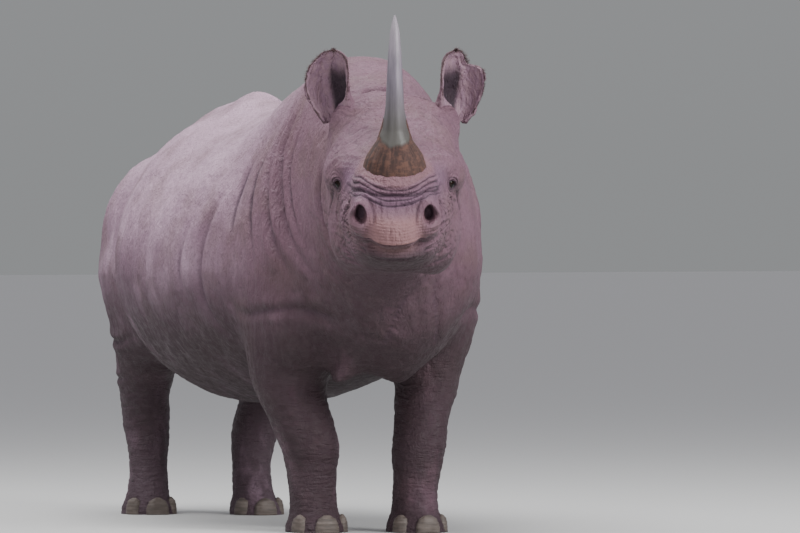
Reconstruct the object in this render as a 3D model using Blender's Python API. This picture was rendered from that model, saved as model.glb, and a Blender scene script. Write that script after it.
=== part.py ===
"""A black rhinoceros, standing, with its head turned to its right: life-size faceted solids.

The body is one smooth field made of lofts (oval sections along an axis) and muscle
masses, meshed whole and then parted with thin cuts into head, jaw, neck, trunk, legs
and feet. Horns, ears, eyes, toenails and tail are modelled apart and let into it.
Metres, +X forward along the trunk, +Y to the animal's left, +Z up, floor at Z = 0, with
the origin under the middle of the whole animal. Its build is told in BODY, the same axes
from a point on the floor midway between the forefeet.
"""

import math

import bmesh
import bpy
import numpy as np
from mathutils import Matrix, Vector

# Driving dimensions
WITHERS_HEIGHT = 1.51
NECK_AXIS_HEIGHT = 1.10
CROUP_HEIGHT = 1.41
SADDLE_HEIGHT = 1.33
BELLY_CLEARANCE = 0.39
BELLY_WIDTH = 0.98
SHOULDER_WIDTH = 0.72
FOREFEET_X = 0.401
TAIL_LENGTH = 0.56
FRONT_HORN_LENGTH = 0.512
REAR_HORN_LENGTH = 0.235

# The head: its frame starts at the front of the mouth, and is turned and tipped.
HEAD_TURN = math.radians(-22)
HEAD_TIP = math.radians(-9)
MOUTH_FRONT = (1.12, -0.35, 0.924)

# Parts of the head, as (along, side, up) in its frame, for the left side.
EYE_RADIUS = 0.021
EYE_PLACE = (-0.310, 0.167, 0.137)
EAR_ROOT = (-0.600, 0.184, 0.285)
EAR_TIP = (-0.565, 0.190, 0.512)
EAR_WIDTH = 0.130
EAR_LOBE = 0.028
EAR_THICKNESS = 0.008
EAR_WIDEST = 0.55  # share of the ear's length
TORN_FROM, TORN_OVER, TORN_AWAY = 0.72, 0.04, 0.62  # the nick in the left ear
MOUTH_CORNER = 0.034
MOUTH_BACK = -0.20

FEET = {  # the middle of each sole, and how far it reaches ahead and to the side
    "front_right": (-0.04, -0.155, 0.118, 0.094),
    "front_left": (0.075, 0.142, 0.118, 0.092),
    "hind_right": (-1.53, -0.172, 0.110, 0.088),
    "hind_left": (-1.36, 0.148, 0.110, 0.086),
}
NAIL_TURN = math.radians(62)
NAIL_HEIGHT, NAIL_DEPTH, NAIL_PROUD = 0.056, 0.020, 0.007
MIDDLE_NAIL, SIDE_NAIL = 0.040, 0.031  # half widths

# How finely the surfaces are worked out, and how many triangles are kept of them.
BODY_CELL, HEAD_CELL = 0.018, 0.011
BLOCK = 4
BODY_TRIANGLES, HEAD_TRIANGLES = 2700, 1700
BALL_SEGMENTS, BALL_RINGS = 10, 6
EAR_ROWS, EAR_COLUMNS = 9, 8
FRONT_HORN_SIDES, REAR_HORN_SIDES, TAIL_SIDES = 14, 12, 8

# Where the body is parted.
GAP = 0.0003  # left between pieces that touch
KNEE_HEIGHT, FETLOCK_HEIGHT, TUFT_HEIGHT = 0.345, 0.125, 0.66
LEG_CUTS = {  # where the block that holds the leg starts and ends along X
    "front_right": (-0.275, 0.24),
    "front_left": (-0.235, 0.28),
    "hind_right": (-2.2, -1.16),
    "hind_left": (-2.2, -1.09),
}
LEG_INNER, LEG_OUTER = 0.03, 0.80
LEG_CUT_LOW, LEG_CUT_SLOPE = 0.44, 0.87

COLOURS = {  # start of the name: colour, roughness
    "horn": ((0.14, 0.15, 0.18), 0.4),
    "eye": ((0.02, 0.012, 0.01), 0.08),
    "nail": ((0.12, 0.10, 0.09), 0.55),
    "tail_tuft": ((0.03, 0.025, 0.025), 0.7),
    "ear": ((0.20, 0.14, 0.14), 0.8),
    "": ((0.25, 0.19, 0.19), 0.75),
}


def smooth_min(a, b, blend):
    """The lower of two distances, with a fillet of about this size where they meet."""
    near = np.maximum(blend - np.abs(a - b), 0.0) / blend
    return np.minimum(a, b) - near * near * blend / 4


class Frame:
    """A right-handed set of axes: along, side and up."""

    def __init__(self, origin, along, side):
        along = np.array(along, float)
        along /= np.linalg.norm(along)
        side = np.array(side, float)
        side -= along * (side @ along)
        side /= np.linalg.norm(side)
        self.origin = np.array(origin, float)
        self.axes = np.stack([along, side, np.cross(along, side)])

    def local(self, points):
        return (points - self.origin) @ self.axes.T

    def world(self, points):
        return np.asarray(points, float) @ self.axes + self.origin


def turned_frame(origin, turn, tip):
    along = (math.cos(turn) * math.cos(tip), math.sin(turn) * math.cos(tip), math.sin(tip))
    return Frame(origin, along, (-math.sin(turn), math.cos(turn), 0))


BODY = Frame((FOREFEET_X, 0, 0), (1, 0, 0), (0, 1, 0))
HEAD = turned_frame(BODY.world(MOUTH_FRONT), HEAD_TURN, HEAD_TIP)
BODY_BOX = BODY.world((-2.1, -0.7, -0.06)), BODY.world((1.3, 0.7, 1.65))
HEAD_BOX = BODY.world((0.4, -0.72, 0.45)), BODY.world((1.3, 0.30, 1.55))

# Cuts: a point of the plane, and the direction that the piece in front of it lies in.
HEAD_CUT = (HEAD.world((-0.585, 0, 0.08)), HEAD.axes.T @ np.array((1, 0, 0.21)))
NECK_CUT = (BODY.world((0.20, 0, 1.10)), (0.93, -0.20, 0.32))


class Loft:
    """Oval sections along a frame's first axis.

    Each ring is (along, side, level, half width, rise, drop): where its widest line
    lies, and how far it reaches sideways, above and below. The ends are rounded over
    the two cap lengths. Exponents above 2 make the upper and lower halves boxier.
    """

    def __init__(self, frame, rings, caps, upper=2.0, lower=2.0):
        rings = np.array(sorted(rings), float)
        self.frame, self.caps, self.upper, self.lower = frame, caps, upper, lower
        self.along = np.linspace(rings[0, 0], rings[-1, 0], 200)
        self.columns = [self.eased(rings[:, 0], rings[:, i]) for i in range(1, 6)]

    def eased(self, at, values):
        """Hermite interpolation through the rings."""
        slopes = np.gradient(values, at)
        k = np.clip(np.searchsorted(at, self.along) - 1, 0, len(at) - 2)
        width = at[k + 1] - at[k]
        s = (self.along - at[k]) / width
        return (
            values[k] * (1 + 2 * s) * (1 - s) ** 2
            + slopes[k] * width * s * (1 - s) ** 2
            + values[k + 1] * s * s * (3 - 2 * s)
            + slopes[k + 1] * width * s * s * (s - 1)
        )

    def distance(self, points):
        p = self.frame.local(points)
        at = np.clip(p[:, 0], self.along[0], self.along[-1])
        side, level, half, rise, drop = (np.interp(at, self.along, c) for c in self.columns)
        u, v = p[:, 1] - side, p[:, 2] - level
        beyond = p[:, 0] - at
        cap = np.where(beyond > 0, self.caps[1], self.caps[0])
        power = np.where(v > 0, self.upper, self.lower)
        tall = np.where(v > 0, rise, drop)
        ratio = (np.abs(u / half) ** power + np.abs(v / tall) ** power) ** (1 / power)
        ratio = np.sqrt(ratio**2 + (beyond / cap) ** 2)
        reach = np.sqrt(u * u + v * v + beyond * beyond)
        return reach - reach / np.maximum(ratio, 1e-6)


class Mass:
    """An ellipsoid: a muscle or a boss. Its radii lie along its own frame's axes."""

    def __init__(self, frame, centre, radii, lean=0.0, splay=0.0):
        """lean turns it about the frame's side axis, splay about its first axis."""
        turn = Matrix.Rotation(lean, 3, "Y") @ Matrix.Rotation(splay, 3, "X")
        self.frame, self.centre = frame, np.array(centre, float)
        self.turn, self.radii = np.array(turn), np.array(radii, float)

    def distance(self, points):
        q = (self.frame.local(points) - self.centre) @ self.turn
        near = np.sqrt(((q / self.radii) ** 2).sum(1))
        steep = np.sqrt(((q / self.radii**2) ** 2).sum(1))
        return near * (near - 1) / np.maximum(steep, 1e-6)


def both_sides(frame, centre, radii, lean=0.0, splay=0.0):
    """A pair of masses, mirrored across the frame's middle plane."""
    along, side, up = centre
    return [
        Mass(frame, (along, side, up), radii, lean, splay),
        Mass(frame, (along, -side, up), radii, lean, -splay),
    ]


def trunk_loft():
    """Chest, barrel and rump. Rings: x, side, level of the widest line, half width, rise, drop."""
    shape = [  # x, top, widest, underside, half width
        (-1.76, 1.09, 0.93, 0.74, 0.19),
        (-1.62, 1.21, 0.92, 0.63, 0.265),
        (-1.43, 1.275, 0.89, 0.54, 0.305),
        (-1.22, 1.325, 0.87, 0.44, 0.395),
        (-1.00, 1.35, 0.85, BELLY_CLEARANCE, 0.475),
        (-0.68, SADDLE_HEIGHT, 0.83, BELLY_CLEARANCE, BELLY_WIDTH / 2),
        (-0.32, 1.365, 0.84, 0.43, 0.435),
        (0.00, 1.40, 0.85, 0.50, SHOULDER_WIDTH / 2),
        (0.22, 1.36, 0.86, 0.55, 0.31),
        (0.36, 1.28, 0.86, 0.60, 0.24),
    ]
    rings = [(x, 0, mid, half, top - mid, mid - low) for x, top, mid, low, half in shape]
    return Loft(BODY, rings, caps=(0.08, 0.10), upper=1.85, lower=1.9)


def spine_loft():
    """The ridge of the backbone over the loins and croup."""
    shape = [  # x, top, half width
        (-1.80, 1.10, 0.07),
        (-1.60, 1.235, 0.08),
        (-1.40, 1.315, 0.085),
        (-1.18, 1.352, 0.09),
        (-1.07, 1.368, 0.09),
        (-0.94, CROUP_HEIGHT - 0.010, 0.09),
        (-0.75, 1.33, 0.10),
        (-0.50, 1.33, 0.11),
        (-0.25, 1.39, 0.13),
    ]
    rings = [(x, 0, top - 0.16, half, 0.16, 0.16) for x, top, half in shape]
    return Loft(BODY, rings, caps=(0.05, 0.08))


def neck_loft():
    """From the hump of the withers to the back of the skull."""
    start = BODY.world((-0.22, 0.0, NECK_AXIS_HEIGHT))
    nape = HEAD.world((-0.54, 0, 0.10))
    frame = Frame(start, nape - start, (0, 1, 0))
    length = np.linalg.norm(nape - start)
    rings = [  # along, side, level, half width, rise, drop
        (0.00, 0.01, 0, 0.26, 0.335, 0.40),
        (0.26 * length, 0.015, 0, 0.270, WITHERS_HEIGHT - NECK_AXIS_HEIGHT - 0.005, 0.42),
        (0.50 * length, 0.01, 0, 0.250, 0.390, 0.42),
        (0.75 * length, 0, 0, 0.222, 0.318, 0.36),
        (length, 0, 0, 0.195, 0.240, 0.25),
    ]
    return Loft(frame, rings, caps=(0.30, 0.06), upper=2.15, lower=2.0)


def leg_loft(rings):
    """A leg along -Z. Rings: height, x, y, half width, fore half, aft half."""
    down = Frame(BODY.origin, (0, 0, -1), (0, 1, 0))
    return Loft(down, [(-z, y, x, half, fore, aft) for z, x, y, half, fore, aft in rings],
                caps=(0.12, 0.03), upper=2.1, lower=2.1)


def leg_lofts():
    front_right = [
        (0.74, -0.10, -0.235, 0.125, 0.17, 0.17),
        (0.56, -0.09, -0.232, 0.128, 0.140, 0.145),
        (0.43, -0.07, -0.222, 0.112, 0.120, 0.122),
        (0.34, -0.05, -0.195, 0.101, 0.106, 0.102),
        (0.27, -0.045, -0.173, 0.094, 0.102, 0.094),
        (0.19, -0.05, -0.163, 0.081, 0.088, 0.088),
        (0.12, -0.05, -0.158, 0.077, 0.086, 0.086),
        (0.06, -0.045, -0.155, 0.079, 0.098, 0.090),
        (0.02, -0.04, -0.155, 0.092, 0.116, 0.100),
        (0.00, -0.04, -0.155, 0.094, 0.118, 0.102),
    ]
    front_left = [
        (0.74, -0.03, 0.235, 0.120, 0.17, 0.17),
        (0.56, -0.01, 0.226, 0.106, 0.140, 0.145),
        (0.43, 0.02, 0.200, 0.095, 0.118, 0.122),
        (0.35, 0.045, 0.174, 0.084, 0.105, 0.102),
        (0.28, 0.06, 0.160, 0.085, 0.102, 0.094),
        (0.19, 0.065, 0.150, 0.076, 0.086, 0.086),
        (0.12, 0.065, 0.145, 0.070, 0.084, 0.084),
        (0.06, 0.07, 0.142, 0.075, 0.098, 0.090),
        (0.02, 0.075, 0.142, 0.090, 0.116, 0.100),
        (0.00, 0.075, 0.142, 0.092, 0.118, 0.102),
    ]
    hind_right = [
        (0.80, -1.44, -0.190, 0.145, 0.25, 0.26),
        (0.64, -1.475, -0.188, 0.112, 0.20, 0.185),
        (0.50, -1.52, -0.178, 0.095, 0.140, 0.140),
        (0.39, -1.575, -0.165, 0.080, 0.105, 0.115),
        (0.30, -1.60, -0.150, 0.077, 0.092, 0.110),
        (0.21, -1.58, -0.150, 0.066, 0.078, 0.082),
        (0.13, -1.56, -0.158, 0.064, 0.076, 0.074),
        (0.06, -1.54, -0.168, 0.072, 0.092, 0.078),
        (0.02, -1.53, -0.172, 0.086, 0.108, 0.088),
        (0.00, -1.53, -0.172, 0.088, 0.110, 0.090),
    ]
    hind_left = [
        (0.80, -1.39, 0.200, 0.150, 0.25, 0.27),
        (0.64, -1.39, 0.205, 0.130, 0.20, 0.21),
        (0.50, -1.41, 0.215, 0.100, 0.140, 0.150),
        (0.39, -1.43, 0.215, 0.084, 0.105, 0.115),
        (0.30, -1.44, 0.188, 0.080, 0.092, 0.110),
        (0.21, -1.42, 0.160, 0.070, 0.078, 0.082),
        (0.13, -1.395, 0.150, 0.066, 0.076, 0.074),
        (0.06, -1.375, 0.148, 0.070, 0.092, 0.078),
        (0.02, -1.365, 0.148, 0.084, 0.108, 0.088),
        (0.00, -1.36, 0.148, 0.086, 0.110, 0.090),
    ]
    return [leg_loft(rings) for rings in (front_right, front_left, hind_right, hind_left)]


def muscle_masses():
    """Centres and radii in BODY, with how far each mass leans."""
    shoulder_blades = both_sides(BODY, (-0.03, 0.210, 0.88), (0.20, 0.155, 0.34), lean=0.18)
    upper_arms = both_sides(BODY, (0.03, 0.215, 0.70), (0.14, 0.135, 0.20))
    thighs = both_sides(BODY, (-1.44, 0.162, 0.82), (0.31, 0.160, 0.33), lean=-0.12)
    buttocks = both_sides(BODY, (-1.63, 0.130, 0.885), (0.18, 0.140, 0.29))
    brisket = Mass(BODY, (0.24, 0, 0.74), (0.17, 0.19, 0.24))
    return [*shoulder_blades, *upper_arms, *thighs, *buttocks, brisket]


def skull_loft():
    shape = [  # along, top, widest, underside, half width
        (-0.68, 0.285, 0.14, -0.06, 0.165),
        (-0.60, 0.350, 0.16, -0.10, 0.196),
        (-0.52, 0.335, 0.16, -0.12, 0.203),
        (-0.44, 0.298, 0.15, -0.11, 0.202),
        (-0.36, 0.268, 0.13, -0.07, 0.184),
        (-0.28, 0.246, 0.11, -0.04, 0.160),
        (-0.20, 0.230, 0.09, -0.02, 0.144),
        (-0.12, 0.208, 0.08, -0.01, 0.128),
        (-0.075, 0.170, 0.07, 0.00, 0.110),
    ]
    rings = [(x, 0, mid, half, top - mid, mid - low) for x, top, mid, low, half in shape]
    return Loft(HEAD, rings, caps=(0.05, 0.03), upper=2.6, lower=2.3)


def jaw_loft():
    shape = [  # along, top, widest, underside, half width
        (-0.52, 0.03, -0.05, -0.175, 0.168),
        (-0.40, 0.03, -0.05, -0.160, 0.162),
        (-0.26, 0.02, -0.04, -0.120, 0.136),
        (-0.16, 0.00, -0.035, -0.088, 0.112),
        (-0.09, 0.00, -0.03, -0.070, 0.086),
    ]
    rings = [(x, 0, mid, half, top - mid, mid - low) for x, top, mid, low, half in shape]
    return Loft(HEAD, rings, caps=(0.05, 0.045), upper=2.2, lower=2.3)


def head_masses():
    """Centres and radii in HEAD."""
    cheeks = both_sides(HEAD, (-0.45, 0.118, -0.02), (0.13, 0.088, 0.15))
    cheekbones = both_sides(HEAD, (-0.43, 0.168, 0.15), (0.12, 0.050, 0.050))
    brows = both_sides(HEAD, (-0.335, 0.138, 0.188), (0.070, 0.044, 0.034))
    poll = Mass(HEAD, (-0.60, 0, 0.305), (0.05, 0.145, 0.055))
    ear_stalks = both_sides(HEAD, (-0.60, 0.162, 0.280), (0.050, 0.042, 0.055))
    front_horn_boss = Mass(HEAD, (-0.165, 0, 0.180), (0.105, 0.108, 0.040))
    rear_horn_boss = Mass(HEAD, (-0.35, 0, 0.226), (0.09, 0.080, 0.036))
    nostril_wings = both_sides(HEAD, (-0.088, 0.096, 0.088), (0.050, 0.038, 0.050))
    lip_sides = both_sides(HEAD, (-0.115, 0.095, 0.030), (0.070, 0.040, 0.034))
    upper_lip = Mass(HEAD, (-0.050, 0, 0.045), (0.045, 0.075, 0.045))
    lip_tip = Mass(HEAD, (-0.030, 0, 0.010), (0.032, 0.055, 0.028))
    return [*cheeks, *cheekbones, *brows, poll, *ear_stalks, front_horn_boss, rear_horn_boss,
            *nostril_wings, *lip_sides, upper_lip, lip_tip]


class Body:
    """The whole animal without horns, ears, eyes, nails and tail, as one distance field."""

    # How broad the fillets are where its parts run together.
    HEAD_BLEND, SPINE_BLEND, NECK_BLEND = 0.04, 0.10, 0.12
    MUSCLE_BLEND, LEG_BLEND, NAPE_BLEND = 0.07, 0.06, 0.05

    def __init__(self):
        self.trunk, self.spine, self.neck = trunk_loft(), spine_loft(), neck_loft()
        self.legs, self.muscles = leg_lofts(), muscle_masses()
        self.skull, self.jaw = skull_loft(), jaw_loft()
        self.head_masses = head_masses()

    def head_distance(self, points):
        d = smooth_min(self.skull.distance(points), self.jaw.distance(points), self.HEAD_BLEND)
        for mass in self.head_masses:
            d = smooth_min(d, mass.distance(points), self.HEAD_BLEND)
        return d

    def distance(self, points):
        d = smooth_min(self.trunk.distance(points), self.spine.distance(points), self.SPINE_BLEND)
        d = smooth_min(d, self.neck.distance(points), self.NECK_BLEND)
        for muscle in self.muscles:
            d = smooth_min(d, muscle.distance(points), self.MUSCLE_BLEND)
        for leg in self.legs:
            d = smooth_min(d, leg.distance(points), self.LEG_BLEND)
        return smooth_min(d, self.head_distance(points), self.NAPE_BLEND)


def grid_values(distance, low, cell, counts):
    """The field on a grid, worked out in full only in blocks that the surface may cross."""
    blocks = -(-np.array(counts) // BLOCK)
    centres = [low[i] + cell * (BLOCK * np.arange(blocks[i]) + (BLOCK - 1) / 2) for i in range(3)]
    coarse = distance(np.stack(np.meshgrid(*centres, indexing="ij"), -1).reshape(-1, 3))
    values = coarse.reshape(blocks)
    for axis in range(3):
        values = np.repeat(values, BLOCK, axis)
    values = values[: counts[0], : counts[1], : counts[2]].copy()
    near = np.argwhere(np.abs(values) < 1.5 * BLOCK * cell)
    values[tuple(near.T)] = distance(low + cell * near)
    return values


def surface_net(distance, low, high, cell):
    """Vertices and quads of the field's zero level: one vertex in each cell it crosses."""
    low = np.array(low, float)
    counts = np.ceil((np.array(high) - low) / cell).astype(int) + 1
    values = grid_values(distance, low, cell, counts)
    inside = values < 0
    cells = counts - 1
    total, crossings = np.zeros((*cells, 3)), np.zeros(cells)

    def corner(grid, offset):
        return grid[tuple(slice(o, o + n) for o, n in zip(offset, cells))]

    for axis in range(3):
        for offset in range(4):
            start = np.zeros(3, int)
            start[(axis + 1) % 3], start[(axis + 2) % 3] = offset % 2, offset // 2
            end = start.copy()
            end[axis] = 1
            a, b = corner(values, start), corner(values, end)
            crossed = corner(inside, start) != corner(inside, end)
            share = np.where(crossed, a / np.where(crossed, a - b, 1), 0)
            for i in range(3):
                total[..., i] += crossed * (start[i] + share * (i == axis))
            crossings += crossed
    found = crossings > 0
    index = np.full(cells, -1)
    index[found] = np.arange(found.sum())
    places = np.argwhere(found) + total[found] / crossings[found][:, None]
    quads = []
    for axis in range(3):
        first, second = (axis + 1) % 3, (axis + 2) % 3
        near, far = [slice(1, -1)] * 3, [slice(1, -1)] * 3
        near[axis], far[axis] = slice(0, -1), slice(1, None)
        a, b = inside[tuple(near)], inside[tuple(far)]
        for leaving in (True, False):
            at = np.argwhere((a != b) & (a == leaving))
            at[:, first] += 1
            at[:, second] += 1
            around = []
            for du, dv in ((1, 1), (0, 1), (0, 0), (1, 0)):
                place = at.copy()
                place[:, first] -= du
                place[:, second] -= dv
                around.append(index[tuple(place.T)])
            quads.append(np.stack(around if leaving else around[::-1], 1))
    return low + cell * places, np.concatenate(quads)


def snapped(points, distance, steps=2, probe=0.002):
    """Points moved onto the field's zero level along its gradient."""
    for _ in range(steps):
        d = distance(points)
        gradient = np.stack([(distance(points + probe * axis) - d) / probe for axis in np.eye(3)], 1)
        length = np.maximum((gradient**2).sum(1), 0.05)
        points = points - (d / length)[:, None] * gradient
    return points


def linked(name, mesh):
    obj = bpy.data.objects.new(name, mesh)
    bpy.context.scene.collection.objects.link(obj)
    return obj


def net_object(body, box, cell, triangles, name):
    """The field's surface within a box, as a closed mesh with about this many triangles."""
    points, quads = surface_net(body.distance, *box, cell)
    mesh = bpy.data.meshes.new(name)
    mesh.from_pydata([tuple(p) for p in snapped(points, body.distance)], [], [tuple(q) for q in quads])
    return simplified(linked("fine", mesh), triangles, name)


def evaluated(obj, name):
    """The object as its modifiers leave it, as a plain mesh; the old object goes."""
    graph = bpy.context.evaluated_depsgraph_get()
    mesh = bpy.data.meshes.new_from_object(obj.evaluated_get(graph))
    bpy.data.objects.remove(obj)
    return linked(name, mesh)


def copied(obj, name):
    return linked(name, obj.data.copy())


def simplified(obj, triangles, name):
    """The same surface with about this many triangles."""
    faces = sum(len(f.vertices) - 2 for f in obj.data.polygons)
    modifier = obj.modifiers.new("simplify", "DECIMATE")
    modifier.ratio = triangles / faces
    modifier.use_collapse_triangulate = True
    return evaluated(obj, name)


def combined(obj, other, operation):
    """A Boolean of two closed meshes; the first keeps its name, the second goes."""
    name = obj.name
    modifier = obj.modifiers.new("cut", "BOOLEAN")
    modifier.operation, modifier.object = operation, other
    obj.name = "old"
    result = evaluated(obj, name)
    bpy.data.objects.remove(other)
    return result


def fattened(obj, distance=GAP):
    """A copy grown along its normals, to cut a seat with."""
    copy = copied(obj, obj.name + "_grown")
    bm = bmesh.new()
    bm.from_mesh(copy.data)
    bm.normal_update()
    moves = [v.normal * distance * v.calc_shell_factor() for v in bm.verts]
    for vert, move in zip(bm.verts, moves):
        vert.co += move
    bm.to_mesh(copy.data)
    bm.free()
    return copy


def half(obj, point, normal, name):
    """The part of a closed mesh on the normal's side of a plane, closed by a flat face."""
    copy = copied(obj, name)
    normal = Vector(normal).normalized()
    bm = bmesh.new()
    bm.from_mesh(copy.data)
    bmesh.ops.bisect_plane(
        bm, geom=bm.verts[:] + bm.edges[:] + bm.faces[:], dist=1e-6,
        plane_co=Vector(point) + normal * GAP / 2, plane_no=normal, clear_inner=True)
    rim = [e for e in bm.edges if e.is_boundary]
    filled = bmesh.ops.holes_fill(bm, edges=rim, sides=0)["faces"]
    bmesh.ops.triangulate(bm, faces=filled)
    bmesh.ops.recalc_face_normals(bm, faces=bm.faces[:])
    bm.to_mesh(copy.data)
    bm.free()
    return copy


def parted(obj, point, normal, ahead, behind):
    """Two pieces of a mesh, either side of a thin flat cut; the mesh itself goes."""
    pieces = half(obj, point, normal, ahead), half(obj, point, -Vector(normal), behind)
    bpy.data.objects.remove(obj)
    return pieces


def prism(name, frame, outline, start, end):
    """A block with an outline given by (side, up), from start to end along the frame."""
    bm = bmesh.new()
    ends = [[bm.verts.new(frame.world((along, side, up))) for side, up in outline]
            for along in (start, end)]
    bm.faces.new(ends[0])
    bm.faces.new(ends[1])
    for i in range(len(outline)):
        bm.faces.new((ends[0][i - 1], ends[0][i], ends[1][i], ends[1][i - 1]))
    bmesh.ops.recalc_face_normals(bm, faces=bm.faces[:])
    mesh = bpy.data.meshes.new(name)
    bm.to_mesh(mesh)
    bm.free()
    return linked(name, mesh)


def skinned(name, loops):
    """A closed tube through loops of equal length, with a flat face over each end."""
    bm = bmesh.new()
    rows = [[bm.verts.new(p) for p in loop] for loop in loops]
    for a, b in zip(rows, rows[1:]):
        for i in range(len(a)):
            bm.faces.new((a[i - 1], a[i], b[i], b[i - 1]))
    bm.faces.new(rows[0])
    bm.faces.new(rows[-1])
    bmesh.ops.recalc_face_normals(bm, faces=bm.faces[:])
    bmesh.ops.triangulate(bm, faces=[f for f in bm.faces if len(f.verts) > 4])
    mesh = bpy.data.meshes.new(name)
    bm.to_mesh(mesh)
    bm.free()
    return linked(name, mesh)


def arc_tube(name, frame, start, length, angles, profile, sides):
    """A tapering tube, bent in the frame's middle plane.

    It starts at (along, up), and its angle from the frame's up axis, towards the front,
    runs from the first of the angles to the second. The profile holds rows of
    (share of the length, half width, half depth).
    """
    loops, steps = [], 60
    shares = [row[0] for row in profile]
    here = np.array(start, float)
    places = [(here.copy(), angles[0])]
    for i in range(steps):
        angle = angles[0] + (angles[1] - angles[0]) * (i + 0.5) / steps
        here = here + np.array((math.sin(angle), math.cos(angle))) * length / steps
        places.append((here.copy(), angles[0] + (angles[1] - angles[0]) * (i + 1) / steps))
    for share, half_width, half_depth in profile:
        (along, up), angle = places[round(share * steps)]
        ring = []
        for i in range(sides):
            turn = 2 * math.pi * i / sides
            depth = half_depth * math.cos(turn)
            ring.append(frame.world((along + depth * math.cos(angle), half_width * math.sin(turn),
                                     up - depth * math.sin(angle))))
        loops.append(ring)
    return skinned(name, loops)


def ball(name, radius, place):
    """A faceted ball, put in place and stretched by a matrix."""
    bm = bmesh.new()
    bmesh.ops.create_uvsphere(
        bm, u_segments=BALL_SEGMENTS, v_segments=BALL_RINGS, radius=radius, matrix=place)
    mesh = bpy.data.meshes.new(name)
    bm.to_mesh(mesh)
    bm.free()
    return linked(name, mesh)


def horns():
    front = [  # share of the length, half width, half depth
        (0.00, 0.100, 0.108), (0.10, 0.097, 0.103), (0.15, 0.090, 0.095), (0.20, 0.074, 0.080),
        (0.25, 0.055, 0.064), (0.32, 0.038, 0.048), (0.45, 0.0295, 0.038), (0.62, 0.025, 0.032),
        (0.78, 0.021, 0.026), (0.90, 0.015, 0.018), (0.96, 0.009, 0.011), (1.00, 0.003, 0.003),
    ]
    rear = [
        (0.00, 0.064, 0.076), (0.15, 0.060, 0.072), (0.30, 0.050, 0.060), (0.50, 0.036, 0.044),
        (0.70, 0.025, 0.030), (0.88, 0.014, 0.017), (1.00, 0.004, 0.005),
    ]
    return (
        arc_tube("horn_front", HEAD, (-0.178, 0.165), FRONT_HORN_LENGTH,
                 (math.radians(11), math.radians(-21)), front, FRONT_HORN_SIDES),
        arc_tube("horn_rear", HEAD, (-0.352, 0.215), REAR_HORN_LENGTH,
                 (math.radians(2), math.radians(-16)), rear, REAR_HORN_SIDES),
    )


def ear_point(share, across, hand, torn):
    """A point of the ear's hollow side. Share runs from root to tip, across from -1 on the
    inner edge to 1 on the outer one. hand is 1 on the left, -1 on the right."""
    root, tip = (np.array((a, s * hand, u)) for a, s, u in (EAR_ROOT, EAR_TIP))
    axis = (tip - root) / np.linalg.norm(tip - root)
    open_to = np.array((0.93, 0.30 * hand, 0.0))
    open_to -= axis * (open_to @ axis)
    open_to /= np.linalg.norm(open_to)
    outward = np.cross(axis, open_to) * -hand
    outward *= np.sign(outward[1]) * hand
    half_width = EAR_WIDTH / 2 * (0.36 + 0.64 * math.sin(min(share / EAR_WIDEST, 1) * math.pi / 2))
    if share > EAR_WIDEST:
        power = 1.5 if across > 0 and not torn else 2.3
        narrowing = ((share - EAR_WIDEST) / (1 - EAR_WIDEST)) ** power
        half_width = EAR_WIDTH / 2 * math.sqrt(max(1 - narrowing, 0.0))
    roll = math.radians(128 - 68 * min(share / 0.7, 1))
    radius = half_width / math.sin(min(roll, math.pi / 2))
    if torn and across > 0:
        across *= 1 - TORN_AWAY * min(max((share - TORN_FROM) / TORN_OVER, 0), 1)
    turn = across * roll
    lobe = EAR_LOBE * max(across, 0) ** 2 * max(1 - share / 0.6, 0)
    middle = root + (tip - root) * share + outward * 0.022 * math.sin(math.pi * share)
    return (middle + outward * radius * math.sin(turn) * (1.0 + 0.12 * (across > 0))
            - open_to * (radius * math.cos(turn) - radius * math.cos(roll)) * 0.8 - axis * lobe)


def ear(name, hand, torn):
    """A closed shell of even thickness behind the hollow side."""
    shares = [0.995 * (1 - (1 - i / EAR_ROWS) ** 1.3) for i in range(EAR_ROWS + 1)]
    spans = [2 * j / EAR_COLUMNS - 1 for j in range(EAR_COLUMNS + 1)]
    grid = np.array([[ear_point(t, b, hand, torn) for b in spans] for t in shares])
    normals = np.cross(np.gradient(grid, axis=0), np.gradient(grid, axis=1)) * hand
    normals /= np.maximum(np.linalg.norm(normals, axis=2, keepdims=True), 1e-9)
    loops = []
    for row in range(EAR_ROWS + 1):
        back = grid[row] + normals[row] * EAR_THICKNESS
        loops.append([HEAD.world(p) for p in list(grid[row]) + list(back[::-1])])
    return skinned(name, loops)


def eyes():
    along, side, up = EYE_PLACE
    made = []
    for name, hand in (("eye_left", 1), ("eye_right", -1)):
        place = HEAD.world((along, side * hand, up))
        made.append(ball(name, EYE_RADIUS, Matrix.Translation(place)))
    return made


def nails(foot_name):
    """Three broad nails round the front of a foot, cut off level with its sole."""
    x, y, ahead, aside = FEET[foot_name]
    hand = -1 if foot_name.endswith("right") else 1
    made = []
    for label, turn, half_width in (
            ("outer", NAIL_TURN, SIDE_NAIL), ("middle", 0, MIDDLE_NAIL), ("inner", -NAIL_TURN, SIDE_NAIL)):
        angle = turn * hand
        facing = math.atan2(math.sin(angle) / aside, math.cos(angle) / ahead)
        inset = NAIL_DEPTH - NAIL_PROUD
        place = BODY.world((x + ahead * math.cos(angle) - inset * math.cos(facing),
                            y + aside * math.sin(angle) - inset * math.sin(facing), 0))
        radii = NAIL_DEPTH, half_width, NAIL_HEIGHT
        matrix = Matrix.Translation(place) @ Matrix.Rotation(facing, 4, "Z") @ Matrix.Diagonal((*radii, 1))
        whole = ball("whole", 1, matrix)
        made.append(half(whole, (0, 0, -GAP / 2), (0, 0, 1), f"nail_{foot_name}_{label}"))
        bpy.data.objects.remove(whole)
    return made


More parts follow.
